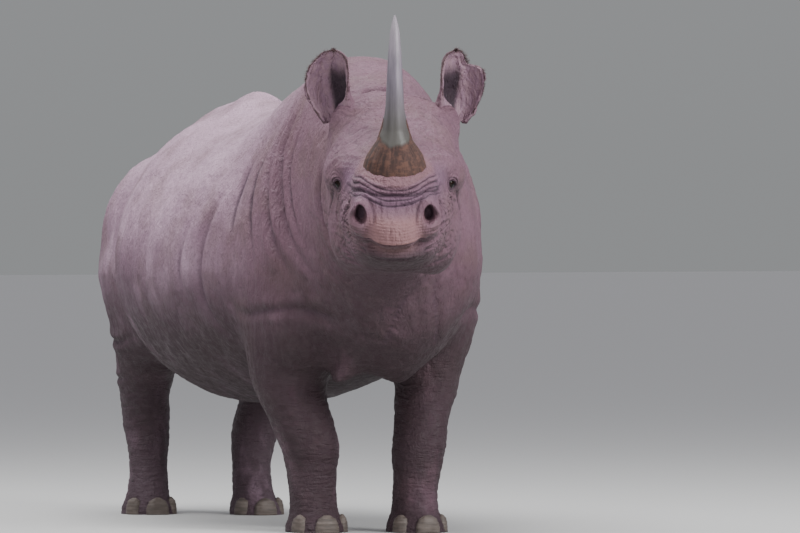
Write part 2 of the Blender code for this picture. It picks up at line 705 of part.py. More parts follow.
def tail():
    """It hangs from the rump, thick at its root, flattened towards the tip."""
    profile = [  # share of the length, half width, half depth
        (0.00, 0.060, 0.050), (0.12, 0.048, 0.042), (0.30, 0.034, 0.031), (0.50, 0.026, 0.024),
        (0.70, 0.021, 0.018), (0.75, 0.024, 0.018), (0.85, 0.030, 0.017), (0.94, 0.020, 0.012),
        (1.00, 0.006, 0.005),
    ]
    down = Frame(BODY.world((-1.79, 0, 1.07)), (-1, 0, 0), (0, 1, 0))
    return arc_tube("tail_whole", down, (0, 0), TAIL_LENGTH,
                    (math.radians(38), math.radians(-14)), profile, TAIL_SIDES)


def leg_block(leg, grown):
    """All that counts as one leg: it reaches higher up the flank than between the legs."""
    start, end = LEG_CUTS[leg]
    hand = -1 if leg.endswith("right") else 1
    inner, below = LEG_INNER - grown, -0.2
    low = LEG_CUT_LOW + grown
    high = low + LEG_CUT_SLOPE * (LEG_OUTER - inner)
    outline = [(inner, below), (LEG_OUTER, below), (LEG_OUTER, high), (inner, low)]
    return prism("block", BODY, [(side * hand, up) for side, up in outline], start - grown, end + grown)


def jaw_block(grown):
    """All that lies under the mouth, back to its corners."""
    lips = [(-0.25, MOUTH_CORNER * 1.6), (-0.14, MOUTH_CORNER), (-0.07, 0.010), (0, 0),
            (0.07, 0.010), (0.14, MOUTH_CORNER), (0.25, MOUTH_CORNER * 1.6)]
    outline = [(side, up + grown) for side, up in lips] + [(0.25, -0.4), (-0.25, -0.4)]
    return prism("block", HEAD, outline, MOUTH_BACK - grown, 0.1)


def body_pieces():
    """The trunk, neck, head, jaw and legs, parted with thin cuts."""
    body = Body()
    whole = net_object(body, BODY_BOX, BODY_CELL, BODY_TRIANGLES, "whole")
    fine_head = net_object(body, HEAD_BOX, HEAD_CELL, HEAD_TRIANGLES, "fine_head")

    head = half(fine_head, *HEAD_CUT, "head")
    bpy.data.objects.remove(fine_head)
    jaw = combined(copied(head, "lower_jaw"), jaw_block(0), "INTERSECT")
    head = combined(head, jaw_block(GAP), "DIFFERENCE")

    standing = half(whole, (0, 0, -GAP / 2), (0, 0, 1), "standing")
    bpy.data.objects.remove(whole)
    front, trunk = parted(standing, *NECK_CUT, "front", "trunk")
    neck = half(front, HEAD_CUT[0], -HEAD_CUT[1], "neck")
    bpy.data.objects.remove(front)
    feet = {}
    for leg in LEG_CUTS:
        column = combined(copied(trunk, "column"), leg_block(leg, 0), "INTERSECT")
        trunk = combined(trunk, leg_block(leg, GAP), "DIFFERENCE")
        _, below = parted(column, (0, 0, KNEE_HEIGHT), (0, 0, 1), f"upper_leg_{leg}", "below")
        _, feet[leg] = parted(
            below, (0, 0, FETLOCK_HEIGHT), (0, 0, 1), f"lower_leg_{leg}", f"foot_{leg}")
    return {"head": head, "neck": neck, "trunk": trunk}, feet


def dress(obj):
    """Gives a piece a material of its own, in its part's colour."""
    colour, roughness = next(v for k, v in COLOURS.items() if obj.name.startswith(k))
    material = bpy.data.materials.new(obj.name)
    material.use_nodes = True
    shader = material.node_tree.nodes["Principled BSDF"]
    shader.inputs["Base Color"].default_value = (*colour, 1)
    shader.inputs["Roughness"].default_value = roughness
    obj.data.materials.clear()
    obj.data.materials.append(material)
    obj.data.shade_smooth()
    obj.data.set_sharp_from_angle(angle=math.radians(45))


def main():
    for obj in list(bpy.data.objects):
        bpy.data.objects.remove(obj)
    pieces, feet = body_pieces()
    head = pieces["head"]

    for horn in horns():
        combined(horn, fattened(head), "DIFFERENCE")
    for side, hand, torn in (("left", 1, True), ("right", -1, False)):
        shell = ear(f"ear_{side}", hand, torn)
        shell = combined(shell, fattened(head), "DIFFERENCE")
        combined(shell, fattened(pieces["neck"]), "DIFFERENCE")
    for eye in eyes():
        head = combined(head, fattened(eye), "DIFFERENCE")
    for leg, foot in feet.items():
        for nail in nails(leg):
            foot = combined(foot, fattened(nail), "DIFFERENCE")
    tail_whole = combined(tail(), fattened(pieces["trunk"]), "DIFFERENCE")
    parted(tail_whole, (0, 0, TUFT_HEIGHT), (0, 0, 1), "tail", "tail_tuft")
    for obj in bpy.data.objects:
        dress(obj)


if __name__ == "__main__":
    main()
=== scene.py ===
"""The looks of the black rhinoceros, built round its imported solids.

One skin covers all the flesh. It is made from the same lofts and muscle masses as the
solids, meshed, refined where the detail is, and then folded and wrinkled by moving its
points along the surface's normals. Eyes, horns and toenails are pieces of their own, and
ear fringe, lashes and tail bristles are tufts of solid mesh. Metres, in the solids' frame.
"""

import math

import bpy
import numpy as np
from mathutils import Matrix, Vector

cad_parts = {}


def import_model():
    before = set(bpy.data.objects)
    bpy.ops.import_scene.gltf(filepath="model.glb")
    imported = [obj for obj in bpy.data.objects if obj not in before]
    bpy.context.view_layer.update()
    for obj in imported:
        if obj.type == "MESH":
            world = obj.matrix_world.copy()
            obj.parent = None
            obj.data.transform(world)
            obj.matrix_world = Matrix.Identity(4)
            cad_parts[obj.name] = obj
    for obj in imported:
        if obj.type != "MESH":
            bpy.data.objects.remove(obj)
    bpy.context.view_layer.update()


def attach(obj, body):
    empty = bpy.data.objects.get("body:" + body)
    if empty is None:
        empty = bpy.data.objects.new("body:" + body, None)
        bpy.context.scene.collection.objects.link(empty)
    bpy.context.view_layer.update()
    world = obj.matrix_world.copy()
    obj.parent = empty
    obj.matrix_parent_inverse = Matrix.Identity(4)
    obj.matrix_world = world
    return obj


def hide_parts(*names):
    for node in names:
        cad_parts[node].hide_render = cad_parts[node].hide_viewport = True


# The animal's driving dimensions, as in the solids.
WITHERS_HEIGHT = 1.51
NECK_AXIS_HEIGHT = 1.10
CROUP_HEIGHT = 1.41
SADDLE_HEIGHT = 1.33
BELLY_CLEARANCE = 0.39
BELLY_WIDTH = 0.98
SHOULDER_WIDTH = 0.72
FOREFEET_X = 0.401
TAIL_LENGTH = 0.56
TAIL_ROOT = (-1.79, 0, 1.07)
TAIL_BEND = 38, -14  # degrees, at its root and its end
FRONT_HORN_LENGTH = 0.512
REAR_HORN_LENGTH = 0.235
HEAD_TURN = math.radians(-22)
HEAD_TIP = math.radians(-9)
MOUTH_FRONT = (1.12, -0.35, 0.924)
EYE_PLACE = (-0.310, 0.167, 0.137)
EAR_ROOT = (-0.600, 0.184, 0.285)
EAR_TIP = (-0.565, 0.190, 0.512)
EAR_WIDTH = 0.130
EAR_LOBE = 0.028
EAR_THICKNESS = 0.008
EAR_WIDEST = 0.55
TORN_FROM, TORN_OVER, TORN_AWAY = 0.72, 0.04, 0.62
FEET = {  # x, y, how far it reaches ahead, and how far aside
    "front_right": (-0.04, -0.155, 0.118, 0.094),
    "front_left": (0.075, 0.142, 0.118, 0.092),
    "hind_right": (-1.53, -0.172, 0.110, 0.088),
    "hind_left": (-1.36, 0.148, 0.110, 0.086),
}
NAIL_TURN = math.radians(62)
NAIL_HEIGHT, NAIL_DEPTH, NAIL_PROUD = 0.056, 0.020, 0.007
MIDDLE_NAIL, SIDE_NAIL = 0.040, 0.031

# The skin's mesh.
CELL = 0.014
BLOCK = 4
NEAR_BLOCKS = 1.5  # the surface may cross a block whose middle is nearer than this many blocks
SKIN_DEPTH = 0.001  # how far it lies inside the solids
LOFT_STEPS = 200
PROBE = 0.002  # the step that finds the field's slope
TINY = 1e-6
EAR_HAIRS, TAIL_HAIRS, LASHES = 1500, 900, 70
HAIR_STEPS, HAIR_SIDES = 5, 3
# The parts of the skin that the bake's map keeps apart. The legs and the ears take four numbers each.
ON_HEAD, ON_TRUNK, ON_LEGS, ON_TAIL, ON_EARS = 0, 1, 2, 6, 7
HEAD_REGIONS = (ON_HEAD, *range(ON_EARS, ON_EARS + 4))


def smooth_min(a, b, blend):
    """The lower of two distances, with a fillet of about this size where they meet."""
    near = np.maximum(blend - np.abs(a - b), 0.0) / blend
    return np.minimum(a, b) - near * near * blend / 4


class Frame:
    """A right-handed set of axes: along, side and up."""

    def __init__(self, origin, along, side):
        along = np.array(along, float)
        along /= np.linalg.norm(along)
        side = np.array(side, float)
        side -= along * (side @ along)
        side /= np.linalg.norm(side)
        self.origin = np.array(origin, float)
        self.axes = np.stack([along, side, np.cross(along, side)])

    def local(self, points):
        return (points - self.origin) @ self.axes.T

    def world(self, points):
        return np.asarray(points, float) @ self.axes + self.origin


def turned_frame(origin, turn, tip):
    along = (math.cos(turn) * math.cos(tip), math.sin(turn) * math.cos(tip), math.sin(tip))
    return Frame(origin, along, (-math.sin(turn), math.cos(turn), 0))


BODY = Frame((FOREFEET_X, 0, 0), (1, 0, 0), (0, 1, 0))
HEAD = turned_frame(BODY.world(MOUTH_FRONT), HEAD_TURN, HEAD_TIP)


class Loft:
    """Oval sections along a frame's first axis.

    Each ring is (along, side, level, half width, rise, drop): where its widest line
    lies, and how far it reaches sideways, above and below. The ends are rounded over
    the two cap lengths. Exponents above 2 make the upper and lower halves boxier.
    """

    def __init__(self, frame, rings, caps, upper=2.0, lower=2.0):
        rings = np.array(sorted(rings), float)
        self.frame, self.caps, self.upper, self.lower = frame, caps, upper, lower
        self.along = np.linspace(rings[0, 0], rings[-1, 0], LOFT_STEPS)
        self.columns = [self.eased(rings[:, 0], rings[:, i]) for i in range(1, 6)]

    def eased(self, at, values):
        """Hermite interpolation through the rings."""
        slopes = np.gradient(values, at)
        k = np.clip(np.searchsorted(at, self.along) - 1, 0, len(at) - 2)
        width = at[k + 1] - at[k]
        s = (self.along - at[k]) / width
        return (
            values[k] * (1 + 2 * s) * (1 - s) ** 2
            + slopes[k] * width * s * (1 - s) ** 2
            + values[k + 1] * s * s * (3 - 2 * s)
            + slopes[k + 1] * width * s * s * (s - 1)
        )

    def distance(self, points):
        p = self.frame.local(points)
        at = np.clip(p[:, 0], self.along[0], self.along[-1])
        side, level, half, rise, drop = (np.interp(at, self.along, c) for c in self.columns)
        u, v = p[:, 1] - side, p[:, 2] - level
        beyond = p[:, 0] - at
        cap = np.where(beyond > 0, self.caps[1], self.caps[0])
        power = np.where(v > 0, self.upper, self.lower)
        tall = np.where(v > 0, rise, drop)
        ratio = (np.abs(u / half) ** power + np.abs(v / tall) ** power) ** (1 / power)
        ratio = np.sqrt(ratio**2 + (beyond / cap) ** 2)
        reach = np.sqrt(u * u + v * v + beyond * beyond)
        return reach - reach / np.maximum(ratio, TINY)


class Mass:
    """An ellipsoid: a muscle or a boss. Its radii lie along its own frame's axes."""

    def __init__(self, frame, centre, radii, lean=0.0, splay=0.0):
        """lean turns it about the frame's side axis, splay about its first axis."""
        turn = Matrix.Rotation(lean, 3, "Y") @ Matrix.Rotation(splay, 3, "X")
        self.frame, self.centre = frame, np.array(centre, float)
        self.turn, self.radii = np.array(turn), np.array(radii, float)

    def distance(self, points):
        q = (self.frame.local(points) - self.centre) @ self.turn
        near = np.sqrt(((q / self.radii) ** 2).sum(1))
        steep = np.sqrt(((q / self.radii**2) ** 2).sum(1))
        return near * (near - 1) / np.maximum(steep, TINY)


def both_sides(frame, centre, radii, lean=0.0):
    """A pair of masses, mirrored across the frame's middle plane."""
    along, side, up = centre
    return [Mass(frame, (along, hand * side, up), radii, lean) for hand in (1, -1)]


def middle_loft(frame, shape, caps, upper, lower):
    """A loft in the frame's middle plane. Rows: along, top, widest, underside, half width."""
    rings = [(x, 0, mid, half, top - mid, mid - low) for x, top, mid, low, half in shape]
    return Loft(frame, rings, caps, upper, lower)


def trunk_loft():
    """Chest, barrel and rump."""
    shape = [  # x, top, widest, underside, half width
        (-1.76, 1.09, 0.93, 0.74, 0.19),
        (-1.62, 1.21, 0.92, 0.63, 0.265),
        (-1.43, 1.275, 0.89, 0.54, 0.305),
        (-1.22, 1.325, 0.87, 0.44, 0.395),
        (-1.00, 1.35, 0.85, BELLY_CLEARANCE, 0.475),
        (-0.68, SADDLE_HEIGHT, 0.83, BELLY_CLEARANCE, BELLY_WIDTH / 2),
        (-0.32, 1.365, 0.84, 0.43, 0.435),
        (0.00, 1.40, 0.85, 0.50, SHOULDER_WIDTH / 2),
        (0.22, 1.36, 0.86, 0.55, 0.31),
        (0.36, 1.28, 0.86, 0.60, 0.24),
    ]
    return middle_loft(BODY, shape, caps=(0.08, 0.10), upper=1.85, lower=1.9)


def spine_loft():
    """The ridge of the backbone over the loins and croup."""
    shape = [  # x, top, half width
        (-1.80, 1.10, 0.07),
        (-1.60, 1.235, 0.08),
        (-1.40, 1.315, 0.085),
        (-1.18, 1.352, 0.09),
        (-1.07, 1.368, 0.09),
        (-0.94, CROUP_HEIGHT - 0.010, 0.09),
        (-0.75, 1.33, 0.10),
        (-0.50, 1.33, 0.11),
        (-0.25, 1.39, 0.13),
    ]
    rings = [(x, 0, top - 0.16, half, 0.16, 0.16) for x, top, half in shape]
    return Loft(BODY, rings, caps=(0.05, 0.08))


def neck_loft():
    """From the hump of the withers to the back of the skull."""
    start = BODY.world((-0.22, 0.0, NECK_AXIS_HEIGHT))
    nape = HEAD.world((-0.54, 0, 0.10))
    frame = Frame(start, nape - start, (0, 1, 0))
    length = np.linalg.norm(nape - start)
    rings = [  # along, side, level, half width, rise, drop
        (0.00, 0.01, 0, 0.26, 0.335, 0.40),
        (0.26 * length, 0.015, 0, 0.270, WITHERS_HEIGHT - NECK_AXIS_HEIGHT - 0.005, 0.42),
        (0.50 * length, 0.01, 0, 0.250, 0.390, 0.42),
        (0.75 * length, 0, 0, 0.222, 0.318, 0.36),
        (length, 0, 0, 0.195, 0.240, 0.25),
    ]
    return Loft(frame, rings, caps=(0.30, 0.06), upper=2.15, lower=2.0)


def leg_loft(rings, caps=(0.12, 0.03)):
    """A leg along -Z. Rings: height, x, y, half width, fore half, aft half."""
    down = Frame(BODY.origin, (0, 0, -1), (0, 1, 0))
    return Loft(down, [(-z, y, x, half, fore, aft) for z, x, y, half, fore, aft in rings],
                caps=caps, upper=2.1, lower=2.1)


def leg_lofts():
    front_right = [
        (0.74, -0.10, -0.235, 0.125, 0.17, 0.17),
        (0.56, -0.09, -0.232, 0.128, 0.140, 0.145),
        (0.43, -0.07, -0.222, 0.112, 0.120, 0.122),
        (0.34, -0.05, -0.195, 0.101, 0.106, 0.102),
        (0.27, -0.045, -0.173, 0.094, 0.102, 0.094),
        (0.19, -0.05, -0.163, 0.081, 0.088, 0.088),
        (0.12, -0.05, -0.158, 0.077, 0.086, 0.086),
        (0.06, -0.045, -0.155, 0.079, 0.098, 0.090),
        (0.02, -0.04, -0.155, 0.092, 0.116, 0.100),
        (0.00, -0.04, -0.155, 0.094, 0.118, 0.102),
    ]
    front_left = [
        (0.74, -0.03, 0.235, 0.120, 0.17, 0.17),
        (0.56, -0.01, 0.226, 0.106, 0.140, 0.145),
        (0.43, 0.02, 0.200, 0.095, 0.118, 0.122),
        (0.35, 0.045, 0.174, 0.084, 0.105, 0.102),
        (0.28, 0.06, 0.160, 0.085, 0.102, 0.094),
        (0.19, 0.065, 0.150, 0.076, 0.086, 0.086),
        (0.12, 0.065, 0.145, 0.070, 0.084, 0.084),
        (0.06, 0.07, 0.142, 0.075, 0.098, 0.090),
        (0.02, 0.075, 0.142, 0.090, 0.116, 0.100),
        (0.00, 0.075, 0.142, 0.092, 0.118, 0.102),
    ]
    hind_right = [
        (0.80, -1.44, -0.190, 0.145, 0.25, 0.26),
        (0.64, -1.475, -0.188, 0.112, 0.20, 0.185),
        (0.50, -1.52, -0.178, 0.095, 0.140, 0.140),
        (0.39, -1.575, -0.165, 0.080, 0.105, 0.115),
        (0.30, -1.60, -0.150, 0.077, 0.092, 0.110),
        (0.21, -1.58, -0.150, 0.066, 0.078, 0.082),
        (0.13, -1.56, -0.158, 0.064, 0.076, 0.074),
        (0.06, -1.54, -0.168, 0.072, 0.092, 0.078),
        (0.02, -1.53, -0.172, 0.086, 0.108, 0.088),
        (0.00, -1.53, -0.172, 0.088, 0.110, 0.090),
    ]
    hind_left = [
        (0.80, -1.39, 0.200, 0.150, 0.25, 0.27),
        (0.64, -1.39, 0.205, 0.130, 0.20, 0.21),
        (0.50, -1.41, 0.215, 0.100, 0.140, 0.150),
        (0.39, -1.43, 0.215, 0.084, 0.105, 0.115),
        (0.30, -1.44, 0.188, 0.080, 0.092, 0.110),
        (0.21, -1.42, 0.160, 0.070, 0.078, 0.082),
        (0.13, -1.395, 0.150, 0.066, 0.076, 0.074),
        (0.06, -1.375, 0.148, 0.070, 0.092, 0.078),
        (0.02, -1.365, 0.148, 0.084, 0.108, 0.088),
        (0.00, -1.36, 0.148, 0.086, 0.110, 0.090),
    ]
    return [leg_loft(rings) for rings in (front_right, front_left, hind_right, hind_left)]


def muscle_masses():
    """Centres and radii in BODY, with how far each mass leans."""
    shoulder_blades = both_sides(BODY, (-0.03, 0.210, 0.88), (0.20, 0.155, 0.34), lean=0.18)
    upper_arms = both_sides(BODY, (0.03, 0.215, 0.70), (0.14, 0.135, 0.20))
    thighs = both_sides(BODY, (-1.44, 0.162, 0.82), (0.31, 0.160, 0.33), lean=-0.12)
    buttocks = both_sides(BODY, (-1.63, 0.130, 0.885), (0.18, 0.140, 0.29))
    brisket = Mass(BODY, (0.24, 0, 0.74), (0.17, 0.19, 0.24))
    return [*shoulder_blades, *upper_arms, *thighs, *buttocks, brisket]


def skull_loft():
    shape = [  # along, top, widest, underside, half width
        (-0.68, 0.285, 0.14, -0.06, 0.165),
        (-0.60, 0.350, 0.16, -0.10, 0.196),
        (-0.52, 0.335, 0.16, -0.12, 0.203),
        (-0.44, 0.298, 0.15, -0.11, 0.202),
        (-0.36, 0.268, 0.13, -0.07, 0.184),
        (-0.28, 0.246, 0.11, -0.04, 0.160),
        (-0.20, 0.230, 0.09, -0.02, 0.144),
        (-0.12, 0.208, 0.08, -0.01, 0.128),
        (-0.075, 0.170, 0.07, 0.00, 0.110),
    ]
    return middle_loft(HEAD, shape, caps=(0.05, 0.03), upper=2.6, lower=2.3)


def jaw_loft():
    shape = [  # along, top, widest, underside, half width
        (-0.52, 0.03, -0.05, -0.175, 0.168),
        (-0.40, 0.03, -0.05, -0.160, 0.162),
        (-0.26, 0.02, -0.04, -0.120, 0.136),
        (-0.16, 0.00, -0.035, -0.088, 0.112),
        (-0.09, 0.00, -0.03, -0.070, 0.086),
    ]
    return middle_loft(HEAD, shape, caps=(0.05, 0.045), upper=2.2, lower=2.3)


def head_masses():
    """Centres and radii in HEAD."""
    cheeks = both_sides(HEAD, (-0.45, 0.118, -0.02), (0.13, 0.088, 0.15))
    cheekbones = both_sides(HEAD, (-0.43, 0.168, 0.15), (0.12, 0.050, 0.050))
    brows = both_sides(HEAD, (-0.335, 0.138, 0.188), (0.070, 0.044, 0.034))
    poll = Mass(HEAD, (-0.60, 0, 0.305), (0.05, 0.145, 0.055))
    ear_stalks = both_sides(HEAD, (-0.60, 0.162, 0.280), (0.050, 0.042, 0.055))
    front_horn_boss = Mass(HEAD, (-0.165, 0, 0.180), (0.105, 0.108, 0.040))
    rear_horn_boss = Mass(HEAD, (-0.35, 0, 0.226), (0.09, 0.080, 0.036))
    nostril_wings = both_sides(HEAD, (-0.088, 0.096, 0.088), (0.050, 0.038, 0.050))
    lip_sides = both_sides(HEAD, (-0.115, 0.095, 0.030), (0.070, 0.040, 0.034))
    upper_lip = Mass(HEAD, (-0.050, 0, 0.045), (0.045, 0.075, 0.045))
    lip_tip = Mass(HEAD, (-0.030, 0, 0.010), (0.032, 0.055, 0.028))
    return [*cheeks, *cheekbones, *brows, poll, *ear_stalks, front_horn_boss, rear_horn_boss,
            *nostril_wings, *lip_sides, upper_lip, lip_tip]


class Body:
    """The whole animal without horns, ears, eyes, nails and tail, as one distance field."""

    # How broad the fillets are where its parts run together.
    HEAD_BLEND, SPINE_BLEND, NECK_BLEND = 0.04, 0.10, 0.12
    MUSCLE_BLEND, LEG_BLEND, NAPE_BLEND = 0.07, 0.06, 0.05

    def __init__(self):
        self.trunk, self.spine, self.neck = trunk_loft(), spine_loft(), neck_loft()
        self.legs, self.muscles = leg_lofts(), muscle_masses()
        self.skull, self.jaw = skull_loft(), jaw_loft()
        self.head_masses = head_masses()

    def head_distance(self, points):
        d = smooth_min(self.skull.distance(points), self.jaw.distance(points), self.HEAD_BLEND)
        for mass in self.head_masses:
            d = smooth_min(d, mass.distance(points), self.HEAD_BLEND)
        return d

    def distance(self, points):
        d = smooth_min(self.trunk.distance(points), self.spine.distance(points), self.SPINE_BLEND)
        d = smooth_min(d, self.neck.distance(points), self.NECK_BLEND)
        for muscle in self.muscles:
            d = smooth_min(d, muscle.distance(points), self.MUSCLE_BLEND)
        for leg in self.legs:
            d = smooth_min(d, leg.distance(points), self.LEG_BLEND)
        return smooth_min(d, self.head_distance(points), self.NAPE_BLEND)


def grid_values(distance, low, cell, counts):
    """The field on a grid, worked out in full only in blocks that the surface may cross."""
    blocks = -(-np.array(counts) // BLOCK)
    centres = [low[i] + cell * (BLOCK * np.arange(blocks[i]) + (BLOCK - 1) / 2) for i in range(3)]
    coarse = distance(np.stack(np.meshgrid(*centres, indexing="ij"), -1).reshape(-1, 3))
    values = coarse.reshape(blocks)
    for axis in range(3):
        values = np.repeat(values, BLOCK, axis)
    values = values[: counts[0], : counts[1], : counts[2]].copy()
    near = np.argwhere(np.abs(values) < NEAR_BLOCKS * BLOCK * cell)
    values[tuple(near.T)] = distance(low + cell * near)
    return values


def surface_net(distance, low, high, cell):
    """Vertices and quads of the field's zero level: one vertex in each cell it crosses."""
    low = np.array(low, float)
    counts = np.ceil((np.array(high) - low) / cell).astype(int) + 1
    values = grid_values(distance, low, cell, counts)
    inside = values < 0
    cells = counts - 1
    total, crossings = np.zeros((*cells, 3)), np.zeros(cells)

    def corner(grid, offset):
        return grid[tuple(slice(o, o + n) for o, n in zip(offset, cells))]

    for axis in range(3):
        for offset in range(4):
            start = np.zeros(3, int)
            start[(axis + 1) % 3], start[(axis + 2) % 3] = offset % 2, offset // 2
            end = start.copy()
            end[axis] = 1
            a, b = corner(values, start), corner(values, end)
            crossed = corner(inside, start) != corner(inside, end)
            share = np.where(crossed, a / np.where(crossed, a - b, 1), 0)
            for i in range(3):
                total[..., i] += crossed * (start[i] + share * (i == axis))
            crossings += crossed
    found = crossings > 0
    index = np.full(cells, -1)
    index[found] = np.arange(found.sum())
    places = np.argwhere(found) + total[found] / crossings[found][:, None]
    quads = []
    for axis in range(3):
        first, second = (axis + 1) % 3, (axis + 2) % 3
        near, far = [slice(1, -1)] * 3, [slice(1, -1)] * 3
        near[axis], far[axis] = slice(0, -1), slice(1, None)
        a, b = inside[tuple(near)], inside[tuple(far)]
        for leaving in (True, False):
            at = np.argwhere((a != b) & (a == leaving))
            at[:, first] += 1
            at[:, second] += 1
            around = []
            for du, dv in ((1, 1), (0, 1), (0, 0), (1, 0)):
                place = at.copy()
                place[:, first] -= du
                place[:, second] -= dv
                around.append(index[tuple(place.T)])
            quads.append(np.stack(around if leaving else around[::-1], 1))
    return low + cell * places, np.concatenate(quads)


def level_and_slope(points, distance):
    """The field at the points, and its gradient there."""
    level = distance(points)
    return level, np.stack([(distance(points + PROBE * axis) - level) / PROBE for axis in np.eye(3)], 1)


def snapped(points, distance, steps=2):
    """Points moved onto the field's zero level along its gradient."""
    least = 0.05  # keeps the steps short where the field is nearly flat
    for _ in range(steps):
        level, slope = level_and_slope(points, distance)
        length = np.maximum((slope**2).sum(1), least)
        points = points - (level / length)[:, None] * slope
    return points


def unit(vectors):
    """The vectors along the last axis, each made one long."""
    return vectors / np.maximum(np.linalg.norm(vectors, axis=-1, keepdims=True), 1e-9)


BODY_BOX = BODY.world((-2.1, -0.7, -0.06)), BODY.world((1.3, 0.7, 1.65))


class Net:
    """A polygon mesh as flat arrays: points, all faces' corners, and each face's number of corners."""

    def __init__(self, points, corners, counts):
        self.points, self.corners, self.counts = points, corners, counts
        self.starts = np.cumsum(counts) - counts

    def centres(self):
        return np.add.reduceat(self.points[self.corners], self.starts) / self.counts[:, None]

    def walk(self):
        """For each corner: its face, its place in that face, and the point that comes after it."""
        face = np.repeat(np.arange(len(self.counts)), self.counts)
        place = np.arange(len(self.corners)) - self.starts[face]
        return face, place, self.corners[self.starts[face] + (place + 1) % self.counts[face]]

    def split(self, chosen):
        """Cuts each chosen face into one quad per corner.

        Its neighbours take the new points into their edges.
        """
        face, place, following = self.walk()
        low, high = np.minimum(self.corners, following), np.maximum(self.corners, following)
        keys = low * len(self.points) + high
        _, first, edge = np.unique(keys, return_index=True, return_inverse=True)
        cut = np.zeros(len(first), bool)
        cut[edge[chosen[face]]] = True
        middle = np.full(len(first), -1)
        middle[cut] = len(self.points) + np.arange(cut.sum())
        halfway = (self.points[self.corners[first[cut]]] + self.points[following[first[cut]]]) / 2
        centre = np.full(len(self.counts), -1)
        centre[chosen] = len(self.points) + cut.sum() + np.arange(chosen.sum())
        points = np.concatenate([self.points, halfway, self.centres()[chosen]])

        inner = chosen[face]
        before = middle[edge[self.starts[face] + (place - 1) % self.counts[face]]]
        quads = np.stack([self.corners, middle[edge], centre[face], before], 1)[inner]
        outer = ~inner
        width = 1 + cut[edge[outer]]
        at = np.cumsum(width) - width
        uncut = np.empty(width.sum(), int)
        uncut[at] = self.corners[outer]
        uncut[at[width == 2] + 1] = middle[edge[outer]][width == 2]
        uncut_counts = np.bincount(face[outer], weights=width, minlength=len(self.counts)).astype(int)
        counts = np.concatenate([uncut_counts[~chosen], np.full(len(quads), 4)])
        return Net(points, np.concatenate([uncut, quads.ravel()]), counts)

    def facing_out(self):
        """The closed net, with its faces turned over if they look inwards."""
        face, place, following = self.walk()
        apex = self.points[self.corners[self.starts[face]]]
        six_volumes = (apex * np.cross(self.points[self.corners], self.points[following])).sum()
        if six_volumes < 0:
            self.corners = self.corners[self.starts[face] + self.counts[face] - 1 - place]
        return self

    @staticmethod
    def joined(nets):
        firsts = np.cumsum([0] + [len(net.points) for net in nets])
        corners = [net.corners + first for net, first in zip(nets, firsts)]
        points, counts = ([getattr(net, kind) for net in nets] for kind in ("points", "counts"))
        return Net(np.concatenate(points), np.concatenate(corners), np.concatenate(counts))

    def mesh(self, name):
        mesh = bpy.data.meshes.new(name)
        mesh.vertices.add(len(self.points))
        mesh.vertices.foreach_set("co", self.points.astype(np.float32).ravel())
        mesh.loops.add(len(self.corners))
        mesh.loops.foreach_set("vertex_index", self.corners.astype(np.int32))
        mesh.polygons.add(len(self.counts))
        mesh.polygons.foreach_set("loop_start", self.starts.astype(np.int32))
        mesh.update(calc_edges=True)
        mesh.shade_smooth()
        return mesh


def wall(index):
    """Quads between neighbouring rings of points, whose numbers are shaped (..., rings, sides)."""
    turned = np.roll(index, -1, -1)
    below, above = slice(None, -1), slice(1, None)
    corners = index[..., below, :], turned[..., below, :], turned[..., above, :], index[..., above, :]
    return np.stack(corners, -1).reshape(-1, 4)


def around(sides):
    """The angles of points spaced evenly round a ring."""
    return 2 * math.pi * np.arange(sides) / sides


def tube_net(rings):
    """A closed tube through rings of points, shaped (rings, sides, 3), with a point amid each end."""
    rows, sides = rings.shape[:2]
    index = np.arange(rows * sides).reshape(rows, sides)
    following = np.roll(index, -1, 1)
    quads = wall(index)
    first, last = rows * sides, rows * sides + 1
    points = np.vstack([rings.reshape(-1, 3), rings[0].mean(0), rings[-1].mean(0)])
    start = np.stack([following[0], index[0], np.full(sides, first)], 1)
    end = np.stack([index[-1], following[-1], np.full(sides, last)], 1)
    corners = np.concatenate([quads.ravel(), start.ravel(), end.ravel()])
    counts = np.concatenate([np.full(len(quads), 4), np.full(2 * sides, 3)])
    return Net(points, corners, counts).facing_out()


NOISE_BATCH = 16000
SLOPES = 4096
GRADIENTS = np.random.default_rng(7).normal(size=(SLOPES, 3))
GRADIENTS /= np.linalg.norm(GRADIENTS, axis=1, keepdims=True)
HASH = 73856093, 19349663, 83492791
SEED_STEP = 17.3  # how many lumps apart the noises of two seeds lie
NOISE_REACH = 1.6
FURROW_REACH = 1.9


def noise(points, size, seed=0):
    """Smooth noise, roughly -1 to 1, with lumps of this size: one number, or one for each axis."""
    if len(points) > NOISE_BATCH:
        batches = np.array_split(points, len(points) // NOISE_BATCH + 1)
        return np.concatenate([noise(batch, size, seed) for batch in batches])
    p = points / np.asarray(size, float) + seed * SEED_STEP
    cell = np.floor(p).astype(np.int64)
    part = p - cell
    ease = part**3 * (part * (part * 6 - 15) + 10)
    total = np.zeros(len(p))
    for corner in np.ndindex(2, 2, 2):
        at = cell + corner
        key = at[:, 0] * HASH[0] ^ at[:, 1] * HASH[1] ^ at[:, 2] * HASH[2]
        slope = GRADIENTS[(key ^ key >> 12) & (SLOPES - 1)]
        weight = np.where(corner, ease, 1 - ease)
        inner = np.einsum("ij,ij->i", slope, part - corner)
        total += weight[:, 0] * weight[:, 1] * weight[:, 2] * inner
    return total * NOISE_REACH


def noises(points, size, seeds):
    """A noise for each seed, side by side: a shift for each point."""
    return np.stack([noise(points, size, seed) for seed in seeds], 1)


def furrows(points, size, seed=0):
    """Noise with sharp valleys between round ridges: 0 on the ridges, down to -1 in the valleys."""
    return -((1 - np.minimum(np.abs(noise(points, size, seed)) * FURROW_REACH, 1)) ** 2)


